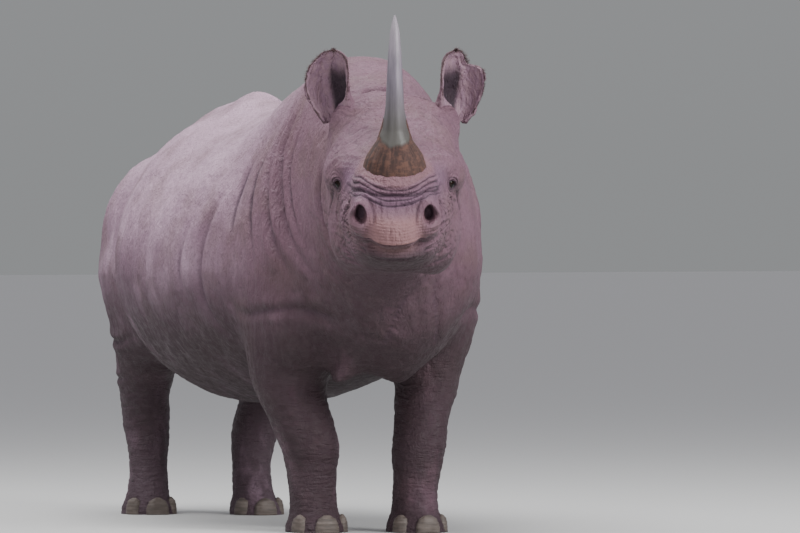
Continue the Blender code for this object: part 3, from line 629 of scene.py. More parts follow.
def ramp(value, start, end):
    """Eases from 0 at start to 1 at end."""
    t = np.clip((value - start) / (end - start), 0, 1)
    return t * t * (3 - 2 * t)


def bell(value, width):
    """1 where the value is 0, falling to 0 on both sides over about this width."""
    return np.exp(-((value / width) ** 2))


def curve(controls, spacing):
    """A smooth line through control points, as evenly spaced points."""
    controls = np.array(controls, float)
    ends = 2 * controls[0] - controls[1], 2 * controls[-1] - controls[-2]
    knots = np.vstack([ends[0], controls, ends[1]])
    pieces = []
    for a, b, c, d in zip(knots, knots[1:], knots[2:], knots[3:]):
        count = max(int(np.linalg.norm(c - b) / spacing), 1)
        t = np.arange(count)[:, None] / count
        bend = a - 2.5 * b + 2 * c - d / 2 + t * (1.5 * (b - c) + (d - a) / 2)
        pieces.append(b + t * ((c - a) / 2 + t * bend))
    return np.vstack([*pieces, controls[-1:]])


class Relief:
    """What the skin has over the smooth body.

    It is a height along the normal, a shift, and masks for the colours, among them the painted shade in its
    creases, folds and hollows.
    """

    FOLD_BATCH = 4_000_000
    LEAST_MASK = 0.01

    def __init__(self, body, points, normals):
        self.body, self.points, self.normals = body, points, normals
        self.head, self.trunk = HEAD.local(points), BODY.local(points)
        self.height = np.full(len(points), -SKIN_DEPTH)
        self.shift = np.zeros_like(points)
        # the crease mask is painted shade in creases and hollows; the dark mask is the chin's darker tone
        # with painted shade under the upper lip
        self.crease, self.lip, self.dark, self.cool = (np.zeros(len(points)) for _ in range(4))
        self.is_head = ramp(self.head[:, 0], -0.66, -0.60)

    def deepen_shade(self, crease, where=slice(None)):
        """Keeps the darker of the painted crease shade that is there and this."""
        self.crease[where] = np.maximum(self.crease[where], crease)

    def fold(self, frame, controls, width, depth, roll, fade=0.3, shade_strength=1.0):
        """A groove along a line near the skin, with the skin rolled up beside it and painted shade in the
        groove.

        A depth below zero makes a ridge. The fold fades out over this share of each end.
        """
        line = snapped(curve(frame.world(controls), width / 2), self.body.distance, steps=6)
        reach = 4.0 * width
        within = (self.points > line.min(0) - reach) & (self.points < line.max(0) + reach)
        near = np.nonzero(within.all(1))[0]
        for some in np.array_split(near, len(near) * len(line) // self.FOLD_BATCH + 1):
            gaps = ((self.points[some][:, None] - line[None]) ** 2).sum(2)
            nearest = gaps.argmin(1)
            gap = np.sqrt(gaps[np.arange(len(some)), nearest])
            share = nearest / (len(line) - 1)
            strength = ramp(share, -0.02, fade) * ramp(1 - share, -0.02, fade)
            wander = 1 + 0.25 * noise(self.points[some], 0.12, 3)
            beside = bell(gap - 2.2 * width, 1.4 * width)
            self.height[some] += strength * wander * (roll * beside - depth * bell(gap, width))
            # painted shade along the groove, at the strength given
            if depth > 0:
                self.deepen_shade(shade_strength * strength * bell(gap, 0.8 * width), some)

    def wrinkles(self, mask, points, size, depth, seed, warp, dark=0.55):
        """Furrows in the skin where the mask is, with painted shade in them; the last argument sets how dark.

        A size for each axis makes them run along the longest.
        """
        near = np.nonzero(mask > self.LEAST_MASK)[0]
        lines = furrows(points[near] + warp[near], size, seed)
        self.height[near] += mask[near] * depth * lines
        # painted shade in the furrows
        self.deepen_shade(dark * mask[near] * lines**2, near)


def both(controls):
    """The same control points on both sides."""
    return [controls, [(along, -side, up) for along, side, up in controls]]


# Folds: control points, width, depth and how high the skin rolls up beside them, both sides.
HEAD_FOLDS = [
    # from the eye down the cheek
    ([(-0.335, 0.185, 0.118), (-0.39, 0.20, 0.075), (-0.44, 0.20, 0.0), (-0.47, 0.19, -0.06)],
     0.006, 0.004, 0.002),
    ([(-0.300, 0.168, 0.108), (-0.33, 0.18, 0.06), (-0.345, 0.18, 0.02)], 0.005, 0.0060, 0.003),
    ([(-0.245, 0.15, 0.10), (-0.27, 0.16, 0.055), (-0.285, 0.155, 0.01)], 0.005, 0.0050, 0.003),
    # behind the jaw, where the head stands out from the neck
    ([(-0.63, 0.215, 0.16), (-0.63, 0.225, 0.02), (-0.60, 0.205, -0.10), (-0.53, 0.14, -0.175)],
     0.016, 0.020, 0.006),
    # behind the nostril and round the corner of the mouth
    ([(-0.135, 0.13, 0.125), (-0.175, 0.145, 0.09), (-0.205, 0.15, 0.045), (-0.215, 0.14, 0.0)],
     0.005, 0.005, 0.003),
    ([(-0.23, 0.15, 0.085), (-0.235, 0.15, 0.04), (-0.23, 0.14, -0.01)], 0.004, 0.003, 0.002),
]
# Ridges of the brow, from beside the horn's base out over the eye.
BROW_RIDGES = [
    ([(-0.255, 0.090, 0.225), (-0.300, 0.135, 0.215), (-0.345, 0.175, 0.190), (-0.40, 0.205, 0.150)],
     0.012, -0.007, 0.0),
    ([(-0.190, 0.115, 0.165), (-0.230, 0.140, 0.150), (-0.260, 0.155, 0.115), (-0.265, 0.155, 0.070)],
     0.009, -0.004, 0.0),
]
# These run from one side across to the other. Half of the points are given.
HEAD_FOLDS_ACROSS = [
    # chin and throat
    ([(-0.17, -0.12, -0.02), (-0.09, -0.07, -0.045), (-0.07, 0, -0.052)], 0.006, 0.006, 0.003),
    ([(-0.24, -0.13, -0.05), (-0.15, -0.09, -0.085), (-0.12, 0, -0.092)], 0.007, 0.006, 0.004),
    ([(-0.40, -0.17, -0.07), (-0.31, -0.11, -0.13), (-0.29, 0, -0.14)], 0.009, 0.007, 0.005),
    # forehead
    ([(-0.61, -0.15, 0.350), (-0.59, 0, 0.357)], 0.005, 0.006, 0.003),
    ([(-0.66, -0.16, 0.362), (-0.65, 0, 0.378)], 0.010, 0.012, 0.008),
    ([(-0.72, -0.15, 0.382), (-0.71, 0, 0.398)], 0.011, 0.011, 0.008),
]
BODY_FOLDS = [
    # behind the shoulder
    ([(-0.24, 0.36, 1.20), (-0.31, 0.45, 1.00), (-0.34, 0.46, 0.82), (-0.32, 0.44, 0.66),
      (-0.24, 0.38, 0.52)], 0.020, 0.010, 0.006),
    ([(-0.42, 0.46, 1.02), (-0.46, 0.48, 0.86), (-0.44, 0.46, 0.70)], 0.014, 0.005, 0.003),
    # over the top of the foreleg, and the hollow beside the breast
    ([(-0.22, 0.42, 0.70), (-0.10, 0.41, 0.685), (0.03, 0.37, 0.700), (0.14, 0.30, 0.712),
      (0.23, 0.21, 0.715)], 0.014, 0.007, 0.003),
    ([(0.12, 0.31, 0.712), (0.22, 0.22, 0.712), (0.30, 0.12, 0.725)], 0.024, 0.011, 0.004),
    # the breast's keel
    ([(0.38, 0.035, 0.84), (0.37, 0.040, 0.74), (0.33, 0.045, 0.64)], 0.012, 0.005, 0.003),
    # elbow
    ([(-0.22, 0.36, 0.50), (-0.20, 0.32, 0.44), (-0.16, 0.26, 0.41)], 0.009, 0.007, 0.005),
    # flank, from the thigh on to the belly
    ([(-1.13, 0.42, 1.00), (-1.17, 0.43, 0.84), (-1.15, 0.42, 0.68), (-1.06, 0.38, 0.54),
      (-0.92, 0.30, 0.43)], 0.020, 0.011, 0.007),
    ([(-1.02, 0.46, 0.84), (-1.03, 0.45, 0.70), (-0.96, 0.42, 0.58)], 0.013, 0.006, 0.004),
    # back of the thigh, over the hock
    ([(-1.72, 0.20, 0.66), (-1.60, 0.28, 0.585), (-1.46, 0.31, 0.57), (-1.34, 0.29, 0.60)],
     0.010, 0.008, 0.006),
    ([(-1.70, 0.18, 0.50), (-1.60, 0.24, 0.455), (-1.48, 0.26, 0.46)], 0.008, 0.005, 0.004),
    # beside the root of the tail
    ([(-1.70, 0.075, 1.19), (-1.79, 0.09, 1.06), (-1.81, 0.08, 0.90), (-1.76, 0.07, 0.74)],
     0.013, 0.012, 0.007),
    ([(-1.55, 0.24, 1.15), (-1.65, 0.25, 1.00), (-1.66, 0.25, 0.82), (-1.58, 0.27, 0.66)],
     0.014, 0.007, 0.005),
]
# Down the side of the neck, from behind the ear forward to the throat.
NECK_FOLDS = [
    ([(0.13, 0.16, 1.36), (0.08, 0.24, 1.21), (0.126, 0.27, 1.05), (0.19, 0.27, 0.93),
      (0.27, 0.23, 0.83)], 0.015, 0.022, 0.010),
    ([(0.06, 0.18, 1.38), (0.015, 0.27, 1.20), (0.055, 0.31, 1.02), (0.11, 0.32, 0.90),
      (0.19, 0.28, 0.79)], 0.016, 0.018, 0.009),
    ([(0.21, 0.15, 1.30), (0.17, 0.23, 1.15), (0.22, 0.25, 1.00), (0.28, 0.22, 0.90)],
     0.008, 0.006, 0.004),
    ([(-0.04, 0.26, 1.30), (-0.08, 0.34, 1.12), (-0.04, 0.37, 0.95), (0.03, 0.38, 0.82)],
     0.015, 0.006, 0.005),
    ([(-0.14, 0.32, 1.26), (-0.18, 0.39, 1.06), (-0.15, 0.42, 0.88)], 0.016, 0.004, 0.004),
]
# How far ahead the edge of the upper lip lies at each distance from the middle.
MOUTH = ((-0.225, -0.156), (-0.16, -0.145), (-0.09, -0.110), (-0.05, -0.075), (-0.02, -0.040), (-0.01, 0))
MOUTH_FOLD = 0.0045, 0.013, 0.003
# The skin round the base of the front horn: a ridge, and a groove outside it and lower.
COLLAR_AHEAD, COLLAR_LONG, COLLAR_WIDE, COLLAR_UP = -0.178, 0.108, 0.102, 0.17
COLLAR_LINES = ((1.00, 0, 0.008, -0.007, 0), (1.25, 0.030, 0.006, 0.005, 0.004))  # size, drop, fold
COLLAR_STEPS = 14


def mirrored(controls):
    """A line that comes back on the other side as it went."""
    return [*controls, *((along, -side, up) for along, side, up in controls[-2::-1])]


def mouth_height(side):
    """How high the edge of the upper lip is: lowest in the middle."""
    return -0.004 + 0.030 * np.minimum(np.abs(side) / 0.13, 1.2) ** 1.7


def fold_skin(skin):
    for controls, *fold in HEAD_FOLDS + BROW_RIDGES:
        for line in both(controls):
            skin.fold(HEAD, line, *fold)
    for controls, *fold in HEAD_FOLDS_ACROSS:
        skin.fold(HEAD, mirrored(controls), *fold)
    # each set of folds, with the strength of its painted crease shade
    for folds, shade_strength in ((BODY_FOLDS, 0.55), (NECK_FOLDS, 0.90)):
        for controls, *fold in folds:
            for line in both(controls):
                skin.fold(BODY, line, *fold, fade=0.42, shade_strength=shade_strength)
    mouth = mirrored([(along, side, mouth_height(side)) for along, side in MOUTH])
    skin.fold(HEAD, mouth, *MOUTH_FOLD, fade=0.12)
    for size, drop, *fold in COLLAR_LINES:
        ring = [(COLLAR_AHEAD + COLLAR_LONG * size * math.cos(turn), COLLAR_WIDE * size * math.sin(turn),
                 COLLAR_UP - drop) for turn in np.linspace(-2.0, 2.0, COLLAR_STEPS)]
        skin.fold(HEAD, ring, *fold, fade=0.15)


def wrinkle_skin(skin):
    """Wrinkles and unevenness, each where it belongs."""
    p, trunk = skin.points, skin.trunk
    body = 1 - skin.is_head
    height = trunk[:, 2]
    leg = ramp(0.56 - height, 0, 0.16) * body
    foot = ramp(0.20 - height, 0, 0.08) * body
    forward = ramp(trunk[:, 0], -0.45, -0.15)
    fore, rear = body * (1 - leg) * forward, body * (1 - leg) * (1 - forward)
    skin.height += 0.0045 * noise(p, 0.16, 1) * body + 0.0014 * noise(p, 0.055, 2)
    warp = 0.020 * noises(p, 0.12, (20, 21, 22))
    # long soft folds that hang down the flank, bending back towards their tops
    hung = p + np.stack([0.30 * np.abs(height - 0.75) ** 1.5, np.zeros(len(p)), np.zeros(len(p))], 1)
    skin.wrinkles(rear, hung, (0.038, 0.05, 0.60), 0.0024, 6, warp, 0.10)
    skin.wrinkles(rear, p, (0.022, 0.026, 0.05), 0.0011, 7, warp, 0.15)
    skin.wrinkles(fore, hung, (0.034, 0.040, 0.34), 0.0030, 4, warp, 0.22)
    skin.wrinkles(fore, p, (0.013, 0.016, 0.08), 0.0016, 5, warp, 0.30)
    skin.wrinkles(leg * (1 - foot), p, (0.10, 0.10, 0.026), 0.0026, 8, warp, 0.35)
    skin.wrinkles(leg, p, (0.050, 0.050, 0.012), 0.0014, 9, warp, 0.30)
    skin.wrinkles(foot, p, (0.05, 0.05, 0.016), 0.0016, 10, warp, 0.35)


NOSTRIL_PLACE = (-0.038, 0.104, 0.083)
NOSTRIL_WIDE, NOSTRIL_TALL, NOSTRIL_DEEP = 0.0200, 0.0280, 0.045
NOSTRIL_LEAN = math.radians(8)
ROLL_SAG = 0.030
ROLL_SPACING, ROLL_HEIGHT = 0.0155, 0.0050
LIP_LINE_SPACING, LIP_LINE_HEIGHT = 0.0095, 0.0013
LIP_OVERHANG, LIP_SWELL, LIP_GROOVE = 0.016, 0.010, 0.005


def wrinkle_face(skin, warp):
    """A net of wrinkles all over, and stronger ones on cheeks, temples, ear stalks and forehead."""
    h, face = skin.head, skin.is_head
    along, side, up = h.T
    aside = np.abs(side)
    # beside the mouth
    cheek = ramp(along, -0.42, -0.30) * ramp(-0.08 - along, 0, 0.05)
    cheek = cheek * ramp(aside, 0.10, 0.14) * ramp(0.15 - up, 0, 0.05)
    skin.wrinkles(face, h, (0.06, 0.05, 0.035), 0.0016, 34, 1.6 * warp, 0.12)
    skin.wrinkles(face * (0.35 + 0.65 * cheek), h, (0.020, 0.020, 0.014), 0.0013, 33, warp, 0.22)
    skin.wrinkles(cheek, h, (0.030, 0.030, 0.018), 0.0040, 35, warp, 0.42)

    # hollow temples, with lines that run down and out from the forehead
    temple = ramp(along, -0.60, -0.52) * ramp(-0.27 - along, 0, 0.06)
    temple = temple * ramp(aside, 0.05, 0.09) * ramp(up, 0.17, 0.21)
    slant = np.stack([along, (aside + up) * 0.7, (aside - up) * 0.7], 1)
    skin.wrinkles(temple, slant, (0.05, 0.016, 0.14), 0.0036, 36, warp, 0.50)
    # round the stalk of the ear, and level lines on the forehead
    stalk = bell(np.hypot(along - EAR_ROOT[0], aside - EAR_ROOT[1]), 0.075) * ramp(up, 0.20, 0.26)
    skin.wrinkles(stalk, h, (0.07, 0.07, 0.013), 0.0030, 37, warp, 0.5)
    forehead = ramp(along, -0.60, -0.50) * ramp(-0.40 - along, 0, 0.05) * ramp(0.12 - aside, 0, 0.05)
    skin.wrinkles(forehead * ramp(up, 0.22, 0.26), h, (0.018, 0.10, 0.05), 0.0016, 38, warp, 0.25)


def roll_muzzle(skin, warp):
    """Rolls from the front horn to the nostrils, sagging in the middle and draped round the nostrils."""
    along, side, up = skin.head.T
    aside = np.abs(side)
    to_nostril = np.hypot(aside - NOSTRIL_PLACE[1], up - NOSTRIL_PLACE[2])
    rise = np.where(aside < NOSTRIL_PLACE[1], up - ROLL_SAG * (side / NOSTRIL_PLACE[1]) ** 2,
                    NOSTRIL_PLACE[2] + to_nostril - ROLL_SAG)
    bend = rise + 0.35 * warp[:, 0]
    muzzle = ramp(along, -0.24, -0.15) * ramp(bend, 0.098, 0.108) * ramp(0.172 - bend, 0, 0.012)
    muzzle = muzzle * ramp(0.175 - aside, 0, 0.035) * ramp(up, 0.03, 0.09)
    muzzle = muzzle * (1 - 0.8 * bell(to_nostril, 0.038))
    rolls = np.abs(np.sin(math.pi * bend / ROLL_SPACING))
    skin.height += muzzle * ROLL_HEIGHT * (rolls**0.6 - 0.65) * (1 + 0.4 * noise(skin.head, 0.05, 40))
    # painted shade in the valleys between the rolls
    skin.deepen_shade(muzzle * (1 - rolls) ** 1.5)
    # a darker, bluer tint over the rolls of the muzzle, and between the eye and the horn
    beside_horn = ramp(aside, 0.095, 0.120) * ramp(0.175 - aside, 0, 0.03) * bell(up - 0.165, 0.040)
    skin.cool = np.maximum(0.8 * muzzle, beside_horn * ramp(along, -0.36, -0.26))


def shape_lips(skin, warp):
    """Level wrinkles, and an upper lip that hangs over the lower one, most in the middle."""
    along, side, up = skin.head.T
    aside = np.abs(side)
    lips = ramp(along, -0.20, -0.12) * ramp(0.085 - up, 0, 0.03) * ramp(up, -0.07, -0.04)
    lines = np.abs(np.sin(math.pi * (up + 0.25 * warp[:, 1] - 0.9 * side**2) / LIP_LINE_SPACING))
    skin.height += lips * LIP_LINE_HEIGHT * (lines - 0.6)
    # painted shade between the lip's level wrinkles
    skin.deepen_shade(0.30 * lips * (1 - lines) ** 2)
    under_lip = mouth_height(side) - up
    below = ramp(under_lip, -0.001, 0.006) * ramp(along, -0.20, -0.13)
    overhang = LIP_OVERHANG * below * ramp(0.060 - under_lip, 0, 0.050)
    overhang = overhang * (1 - 0.65 * ramp(aside, 0.06, 0.12))
    skin.shift -= overhang[:, None] * HEAD.axes[0]
    # the lip swells in the middle, between grooves that come down from the nostrils
    front = ramp(along, -0.16, -0.10) * ramp(0.080 - up, 0, 0.03) * (1 - below)
    swell = front * (LIP_SWELL * bell(side, 0.050) - LIP_GROOVE * bell(aside - 0.078, 0.014))
    skin.shift += swell[:, None] * HEAD.axes[0]
    # colours: the upper lip, the wet edge of the lower one, and the chin, darker in its own tone and with
    # painted shade under the overhanging upper lip
    upper_lip = ramp(along, -0.15, -0.08) * ramp(0.088 - up, -0.01, 0.03) * (1 - below)
    skin.lip = upper_lip * (1 - 0.85 * ramp(aside, 0.055, 0.105))
    lower_lip = 0.55 * bell(under_lip - 0.024, 0.016) * ramp(along, -0.20, -0.13)
    skin.lip += lower_lip * (1 - ramp(aside, 0.05, 0.09))
    chin = ramp(along, -0.50, -0.16) * (1 - ramp(aside, 0.065, 0.135))
    skin.dark = np.maximum(chin * ramp(under_lip, 0.015, 0.060), 0.5 * chin * ramp(under_lip, -0.002, 0.012))


def wrinkle_collar(skin, warp):
    """Paler, scaly skin round the front horn."""
    along, side, up = skin.head.T
    collar = np.hypot((along - COLLAR_AHEAD) / COLLAR_LONG, side / COLLAR_WIDE)
    high = ramp(up, 0.13, 0.16)
    skin.wrinkles(bell(collar - 1.12, 0.12) * high, skin.head, (0.014, 0.014, 0.010), 0.0016, 39, warp, 0.45)
    skin.lip = np.maximum(skin.lip, 0.55 * bell(collar - 1.08, 0.16) * high)


def wrinkle_head(skin):
    near = np.nonzero(skin.is_head > skin.LEAST_MASK)[0]
    warp = np.zeros_like(skin.head)
    warp[near] = 0.012 * noises(skin.head[near], 0.06, (30, 31, 32))
    for step in (wrinkle_face, roll_muzzle, shape_lips, wrinkle_collar):
        step(skin, warp)


EYE_BALL = 0.0195
EYE_LONG, EYE_TALL = 0.0170, 0.0118
EYE_PROUD = 0.0045
LID = 0.0034
EYE_AREA = 0.075  # how far round the eye its lids and folds reach
LID_FOLD = 1.75  # where the fold of the lid runs, in sizes of the opening


def eye_frames(body):
    """For each side: a frame with its origin on the skin at the eye, along the opening, and up it."""
    frames = {}
    for side, hand in (("left", 1), ("right", -1)):
        along, aside, up = EYE_PLACE
        origin = snapped(HEAD.world([(along, aside * hand, up)]), body.distance, steps=8)
        normal = unit(level_and_slope(origin, body.distance)[1])[0]
        back = -HEAD.axes[0] - 0.30 * HEAD.axes[2]
        frame = Frame(origin[0], back, HEAD.axes[2])
        frame.axes[0] -= normal * (frame.axes[0] @ normal)
        frame.axes[0] /= np.linalg.norm(frame.axes[0])
        frame.axes[1] = np.cross(normal, frame.axes[0])
        if frame.axes[1] @ HEAD.axes[2] < 0:
            frame.axes[1] *= -1
        frame.axes[2] = normal
        frames[side] = frame
    return frames


def shape_eye(skin, frame):
    """Lids that lie over the ball, open in an almond, with folds round them."""
    q = frame.local(skin.points)
    near = np.nonzero((np.abs(q) < EYE_AREA).all(1))[0]
    across, up = q[near, 0], q[near, 1]
    out = np.hypot(across, up)
    steep = np.abs(up) / np.maximum(out, TINY)
    middle = EYE_PROUD - EYE_BALL
    dome = middle + np.sqrt(np.maximum((EYE_BALL + LID) ** 2 - out**2, 0))
    brow = np.maximum(up, 0) / np.maximum(out, TINY)
    lids = np.maximum(dome, 0) + (0.001 + 0.004 * brow) * bell(out - 0.023, 0.009)
    droop = 0.0015 * (across / EYE_LONG)
    opening = np.sqrt((across / EYE_LONG) ** 2 + ((up + droop) / EYE_TALL) ** 2)
    inside = ramp(1.06 - opening, 0, 0.22)
    behind_ball = middle + np.sqrt(np.maximum(EYE_BALL**2 - out**2, 0)) - 0.0035
    rings = 0.0009 * np.sin(2 * math.pi * (out - 0.30 * up) / 0.0085) * bell(out - 0.038, 0.014)
    rings *= 0.35 + 0.65 * np.abs(up) / np.maximum(out, TINY)
    lid_fold = -0.0030 * bell(opening - LID_FOLD, 0.16) * np.clip(steep, 0, 1)
    outer = lids + rings + lid_fold
    wanted = outer * (1 - inside) + behind_ball * inside
    blend = ramp(0.045 - out, 0, 0.02)
    skin.height[near] = skin.height[near] * (1 - blend) + wanted * blend + (1 - blend) * rings
    skin.crease[near] *= 1 - blend
    # painted shade round the opening and in the fold of the lid
    skin.deepen_shade(bell(opening - 1.0, 0.48), near)
    skin.deepen_shade(0.8 * bell(opening - LID_FOLD, 0.12), near)


def shape_nostril(skin, hand):
    """A hole that runs straight back, wider towards its outer foot, in a raised wing."""
    along, side, up = skin.head.T
    area = 0.075
    across, rise = side * hand - NOSTRIL_PLACE[1], up - NOSTRIL_PLACE[2]
    near = np.nonzero((np.abs(across) < area) & (np.abs(rise) < area) & (along > -0.13))[0]
    across, rise, along = across[near], rise[near], along[near]
    lean = across * math.cos(NOSTRIL_LEAN) - rise * math.sin(NOSTRIL_LEAN)
    tall = rise * math.cos(NOSTRIL_LEAN) + across * math.sin(NOSTRIL_LEAN)
    outer = np.clip(1.10 - 0.50 * tall / NOSTRIL_TALL, 0.55, 1.60)
    wide = NOSTRIL_WIDE * np.where(lean > 0, outer, 0.85)
    hole = np.sqrt((lean / wide) ** 2 + (tall / NOSTRIL_TALL) ** 2)
    turn = np.arctan2(tall, lean)
    inside = ramp(1.16 - hole, 0, 0.50 + 0.45 * ramp(lean, 0, NOSTRIL_WIDE))
    fading = ramp(along, -0.13, -0.09)
    wing = 0.0090 * bell(hole - 1.45, 0.38) * (0.45 + 0.55 * np.cos(turn - 0.5))
    inner_side = ramp(np.cos(turn - 2.6), -0.2, 0.5)
    groove = -0.0050 * bell(hole - 2.30, 0.30) * inner_side
    ahead = fading * ((wing + groove) * (1 - inside) - NOSTRIL_DEEP * inside)
    skin.height[near] *= 1 - 0.7 * ramp(1.9 - hole, 0, 0.6)
    skin.shift[near] += ahead[:, None] * HEAD.axes[0]
    skin.shift[near] += (fading * 0.5 * wing * (1 - inside))[:, None] * HEAD.axes[1] * hand
    # painted shade inside the hole, and in the groove on its inner side
    skin.deepen_shade(0.92 * ramp(0.98 - hole, 0, 0.5), near)
    skin.deepen_shade(0.5 * bell(hole - 2.25, 0.22) * inner_side, near)


HEAD_BACK = -0.66  # where the finer mesh of the head ends
TOE_HEIGHT = 0.14


def skin_net(body, eyes):
    """The body's surface, with finer faces on the head and feet, and finest round the eyes."""
    points, quads = surface_net(body.distance, *BODY_BOX, CELL)
    net = Net(snapped(points, body.distance), quads.ravel(), np.full(len(quads), 4))

    def refine(chosen):
        fine = net.split(chosen)
        fresh = slice(len(net.points), None)
        fine.points[fresh] = snapped(fine.points[fresh], body.distance, steps=1)
        return fine

    def near_eyes(reach):
        gaps = [np.linalg.norm(net.centres() - frame.origin, axis=1) for frame in eyes.values()]
        return np.minimum(*gaps) < reach

    net = refine(np.ones(len(net.counts), bool))
    along, _, up = HEAD.local(net.centres()).T
    feet = BODY.local(net.centres())[:, 2] < TOE_HEIGHT
    net = refine((along > HEAD_BACK) & (up > -0.25) | feet)
    along, _, up = HEAD.local(net.centres()).T
    net = refine((along > -0.24) & (up > -0.08) | near_eyes(0.062))
    along, aside, up = HEAD.local(net.centres()).T
    gap = np.hypot(np.abs(aside) - NOSTRIL_PLACE[1], up - NOSTRIL_PLACE[2])
    return refine(near_eyes(0.032) | (gap < 0.036) & (along > -0.10))


def normals_of(mesh):
    normals = np.empty(3 * len(mesh.vertices), np.float32)
    mesh.vertex_normals.foreach_get("vector", normals)
    return normals.reshape(-1, 3).astype(float)


def make_skin(body, eyes):
    """One mesh for all the flesh: the body, the tail and both ears. Also gives its bake map."""
    net = skin_net(body, eyes)
    mesh = net.mesh("smooth")
    skin = Relief(body, net.points, normals_of(mesh))
    bpy.data.meshes.remove(mesh)
    fold_skin(skin)
    wrinkle_skin(skin)
    wrinkle_head(skin)
    for frame in eyes.values():
        shape_eye(skin, frame)
    for hand in (1, -1):
        shape_nostril(skin, hand)
    net.points = skin.points + skin.normals * skin.height[:, None] + skin.shift
    net.points[:, 2] = np.maximum(net.points[:, 2], 0)
    ears = [ear_net(body, 1, torn=True), ear_net(body, -1, torn=False)]
    bare = np.zeros(len(net.points))
    whole = Net.joined([net, *(ear for ear, _, _ in ears)])
    masks = {name: np.concatenate([getattr(skin, name), np.zeros(len(whole.points) - len(bare))])
             for name in ("crease", "lip", "dark", "cool")}
    masks["hollow"] = np.concatenate([bare, *(inside for _, inside, _ in ears)])
    # how deep in the ear's hollow, for the painted shade there
    masks["deep"] = np.concatenate([bare, *(depth for _, _, depth in ears)])
    obj = placed(whole, "skin", skin_material(), **masks)

    facing = normals_of(obj.data)
    facing[: len(bare)] = skin.normals
    centres = whole.centres()
    region = flesh_regions(centres)
    of_ears = slice(len(net.counts), None)
    on_right = HEAD.local(centres[of_ears])[:, 1] <= 0
    inside = masks["hollow"][whole.corners[np.cumsum(whole.counts) - 1]] > 0.5
    region[of_ears] = ON_EARS + on_right + 2 * inside[of_ears]
    places = bake_map(whole, facing, region)
    add_bake_map(obj, places)
    point_places = np.zeros((len(whole.points), 2))
    point_places[whole.corners] = places
    return obj, whole.points, point_places


HEAD_BAKE_SCALE = 2.4  # the head has finer markings, so it gets more of the map
BAKE_MARGIN = 0.02  # between charts, in metres of the body
BAKE_SLACK = 1.08  # how much wider the map is than its charts would fill without gaps
TUFT_PATCH = 0.003
ROOTS_AT_ONCE = 40
ROOT_REACH = 0.03


def flesh_regions(centres):
    """Which part of the body each face is on, so that no two layers share a chart."""
    head, trunk = HEAD.local(centres), BODY.local(centres)
    side = trunk[:, 1] > 0
    leg = trunk[:, 2] < 0.52
    fore = trunk[:, 0] > -0.7
    region = np.where(leg, ON_LEGS + 2 * fore + side, ON_TRUNK)
    region[head[:, 0] > -0.62] = ON_HEAD
    region[(trunk[:, 0] < -1.80) & (np.abs(trunk[:, 1]) < 0.07) & (trunk[:, 2] < 1.08)] = ON_TAIL
    return region


def bake_map(net, facing, region):
    """A place on the bake's square for each corner.

    The map has flat charts of each region, seen along its six directions.
    """
    on_head = np.isin(region, HEAD_REGIONS)
    normal = np.add.reduceat(facing[net.corners], net.starts)
    normal = np.where(on_head[:, None], normal @ HEAD.axes.T, normal)
    axis = np.abs(normal).argmax(1)
    ahead = normal[np.arange(len(axis)), axis] > 0
    chart = np.repeat(region * 6 + axis * 2 + ahead, net.counts)
    points = net.points[net.corners]
    in_head = np.repeat(on_head, net.counts)
    points[in_head] = HEAD.local(points[in_head]) * HEAD_BAKE_SCALE
    across = np.array([(1, 2), (0, 2), (0, 1)])[np.repeat(axis, net.counts)]
    flat = np.take_along_axis(points, across, 1)

    charts = []
    for label in np.unique(chart):
        chosen = np.nonzero(chart == label)[0]
        low = flat[chosen].min(0)
        charts.append((chosen, low, flat[chosen].max(0) - low + BAKE_MARGIN))
    charts.sort(key=lambda item: -item[2][1])
    width = BAKE_SLACK * math.sqrt(sum(size[0] * size[1] for _, _, size in charts))
    x = y = shelf = 0.0
    for chosen, low, size in charts:
        if x + size[0] > width:
            x, y, shelf = 0.0, y + shelf, 0.0
        flat[chosen] += (x, y) - low + BAKE_MARGIN / 2
        x += size[0]
        shelf = max(shelf, size[1])
    return flat / max(width, y + shelf)


def add_bake_map(obj, places):
    layer = obj.data.uv_layers.new(name="OFBake")
    layer.uv.foreach_set("vector", places.astype(np.float32).ravel())


def hair_bake_map(net, hair, roots, skin_points, skin_places):
    """A small patch for each hair, at its root's place on the skin's map."""
    place = np.empty((len(roots), 2))
    for some in np.array_split(np.arange(len(roots)), len(roots) // ROOTS_AT_ONCE + 1):
        low, high = roots[some].min(0) - ROOT_REACH, roots[some].max(0) + ROOT_REACH
        near = np.nonzero(((skin_points > low) & (skin_points < high)).all(1))[0]
        gaps = ((roots[some][:, None] - skin_points[near][None]) ** 2).sum(2)
        place[some] = skin_places[near[gaps.argmin(1)]]
    number = np.arange(len(hair))
    row = number // HAIR_SIDES % HAIR_STEPS
    within = np.stack([number % HAIR_SIDES / (HAIR_SIDES - 1), row / (HAIR_STEPS - 1)], 1)
    return (place[hair] + (within - 0.5) * TUFT_PATCH)[net.corners]


def add_object(name, data):
    obj = bpy.data.objects.new(name, data)
    bpy.context.scene.collection.objects.link(obj)
    return obj


def placed(net, name, material, **attributes):
    """An object from a net, with a value at each point for each attribute."""
    obj = add_object(name, net.mesh(name))
    for key, values in attributes.items():
        attribute = obj.data.attributes.new(key, "FLOAT", "POINT")
        attribute.data.foreach_set("value", np.asarray(values, np.float32))
    obj.data.materials.append(material)
    return obj


ARC_STEPS = 240


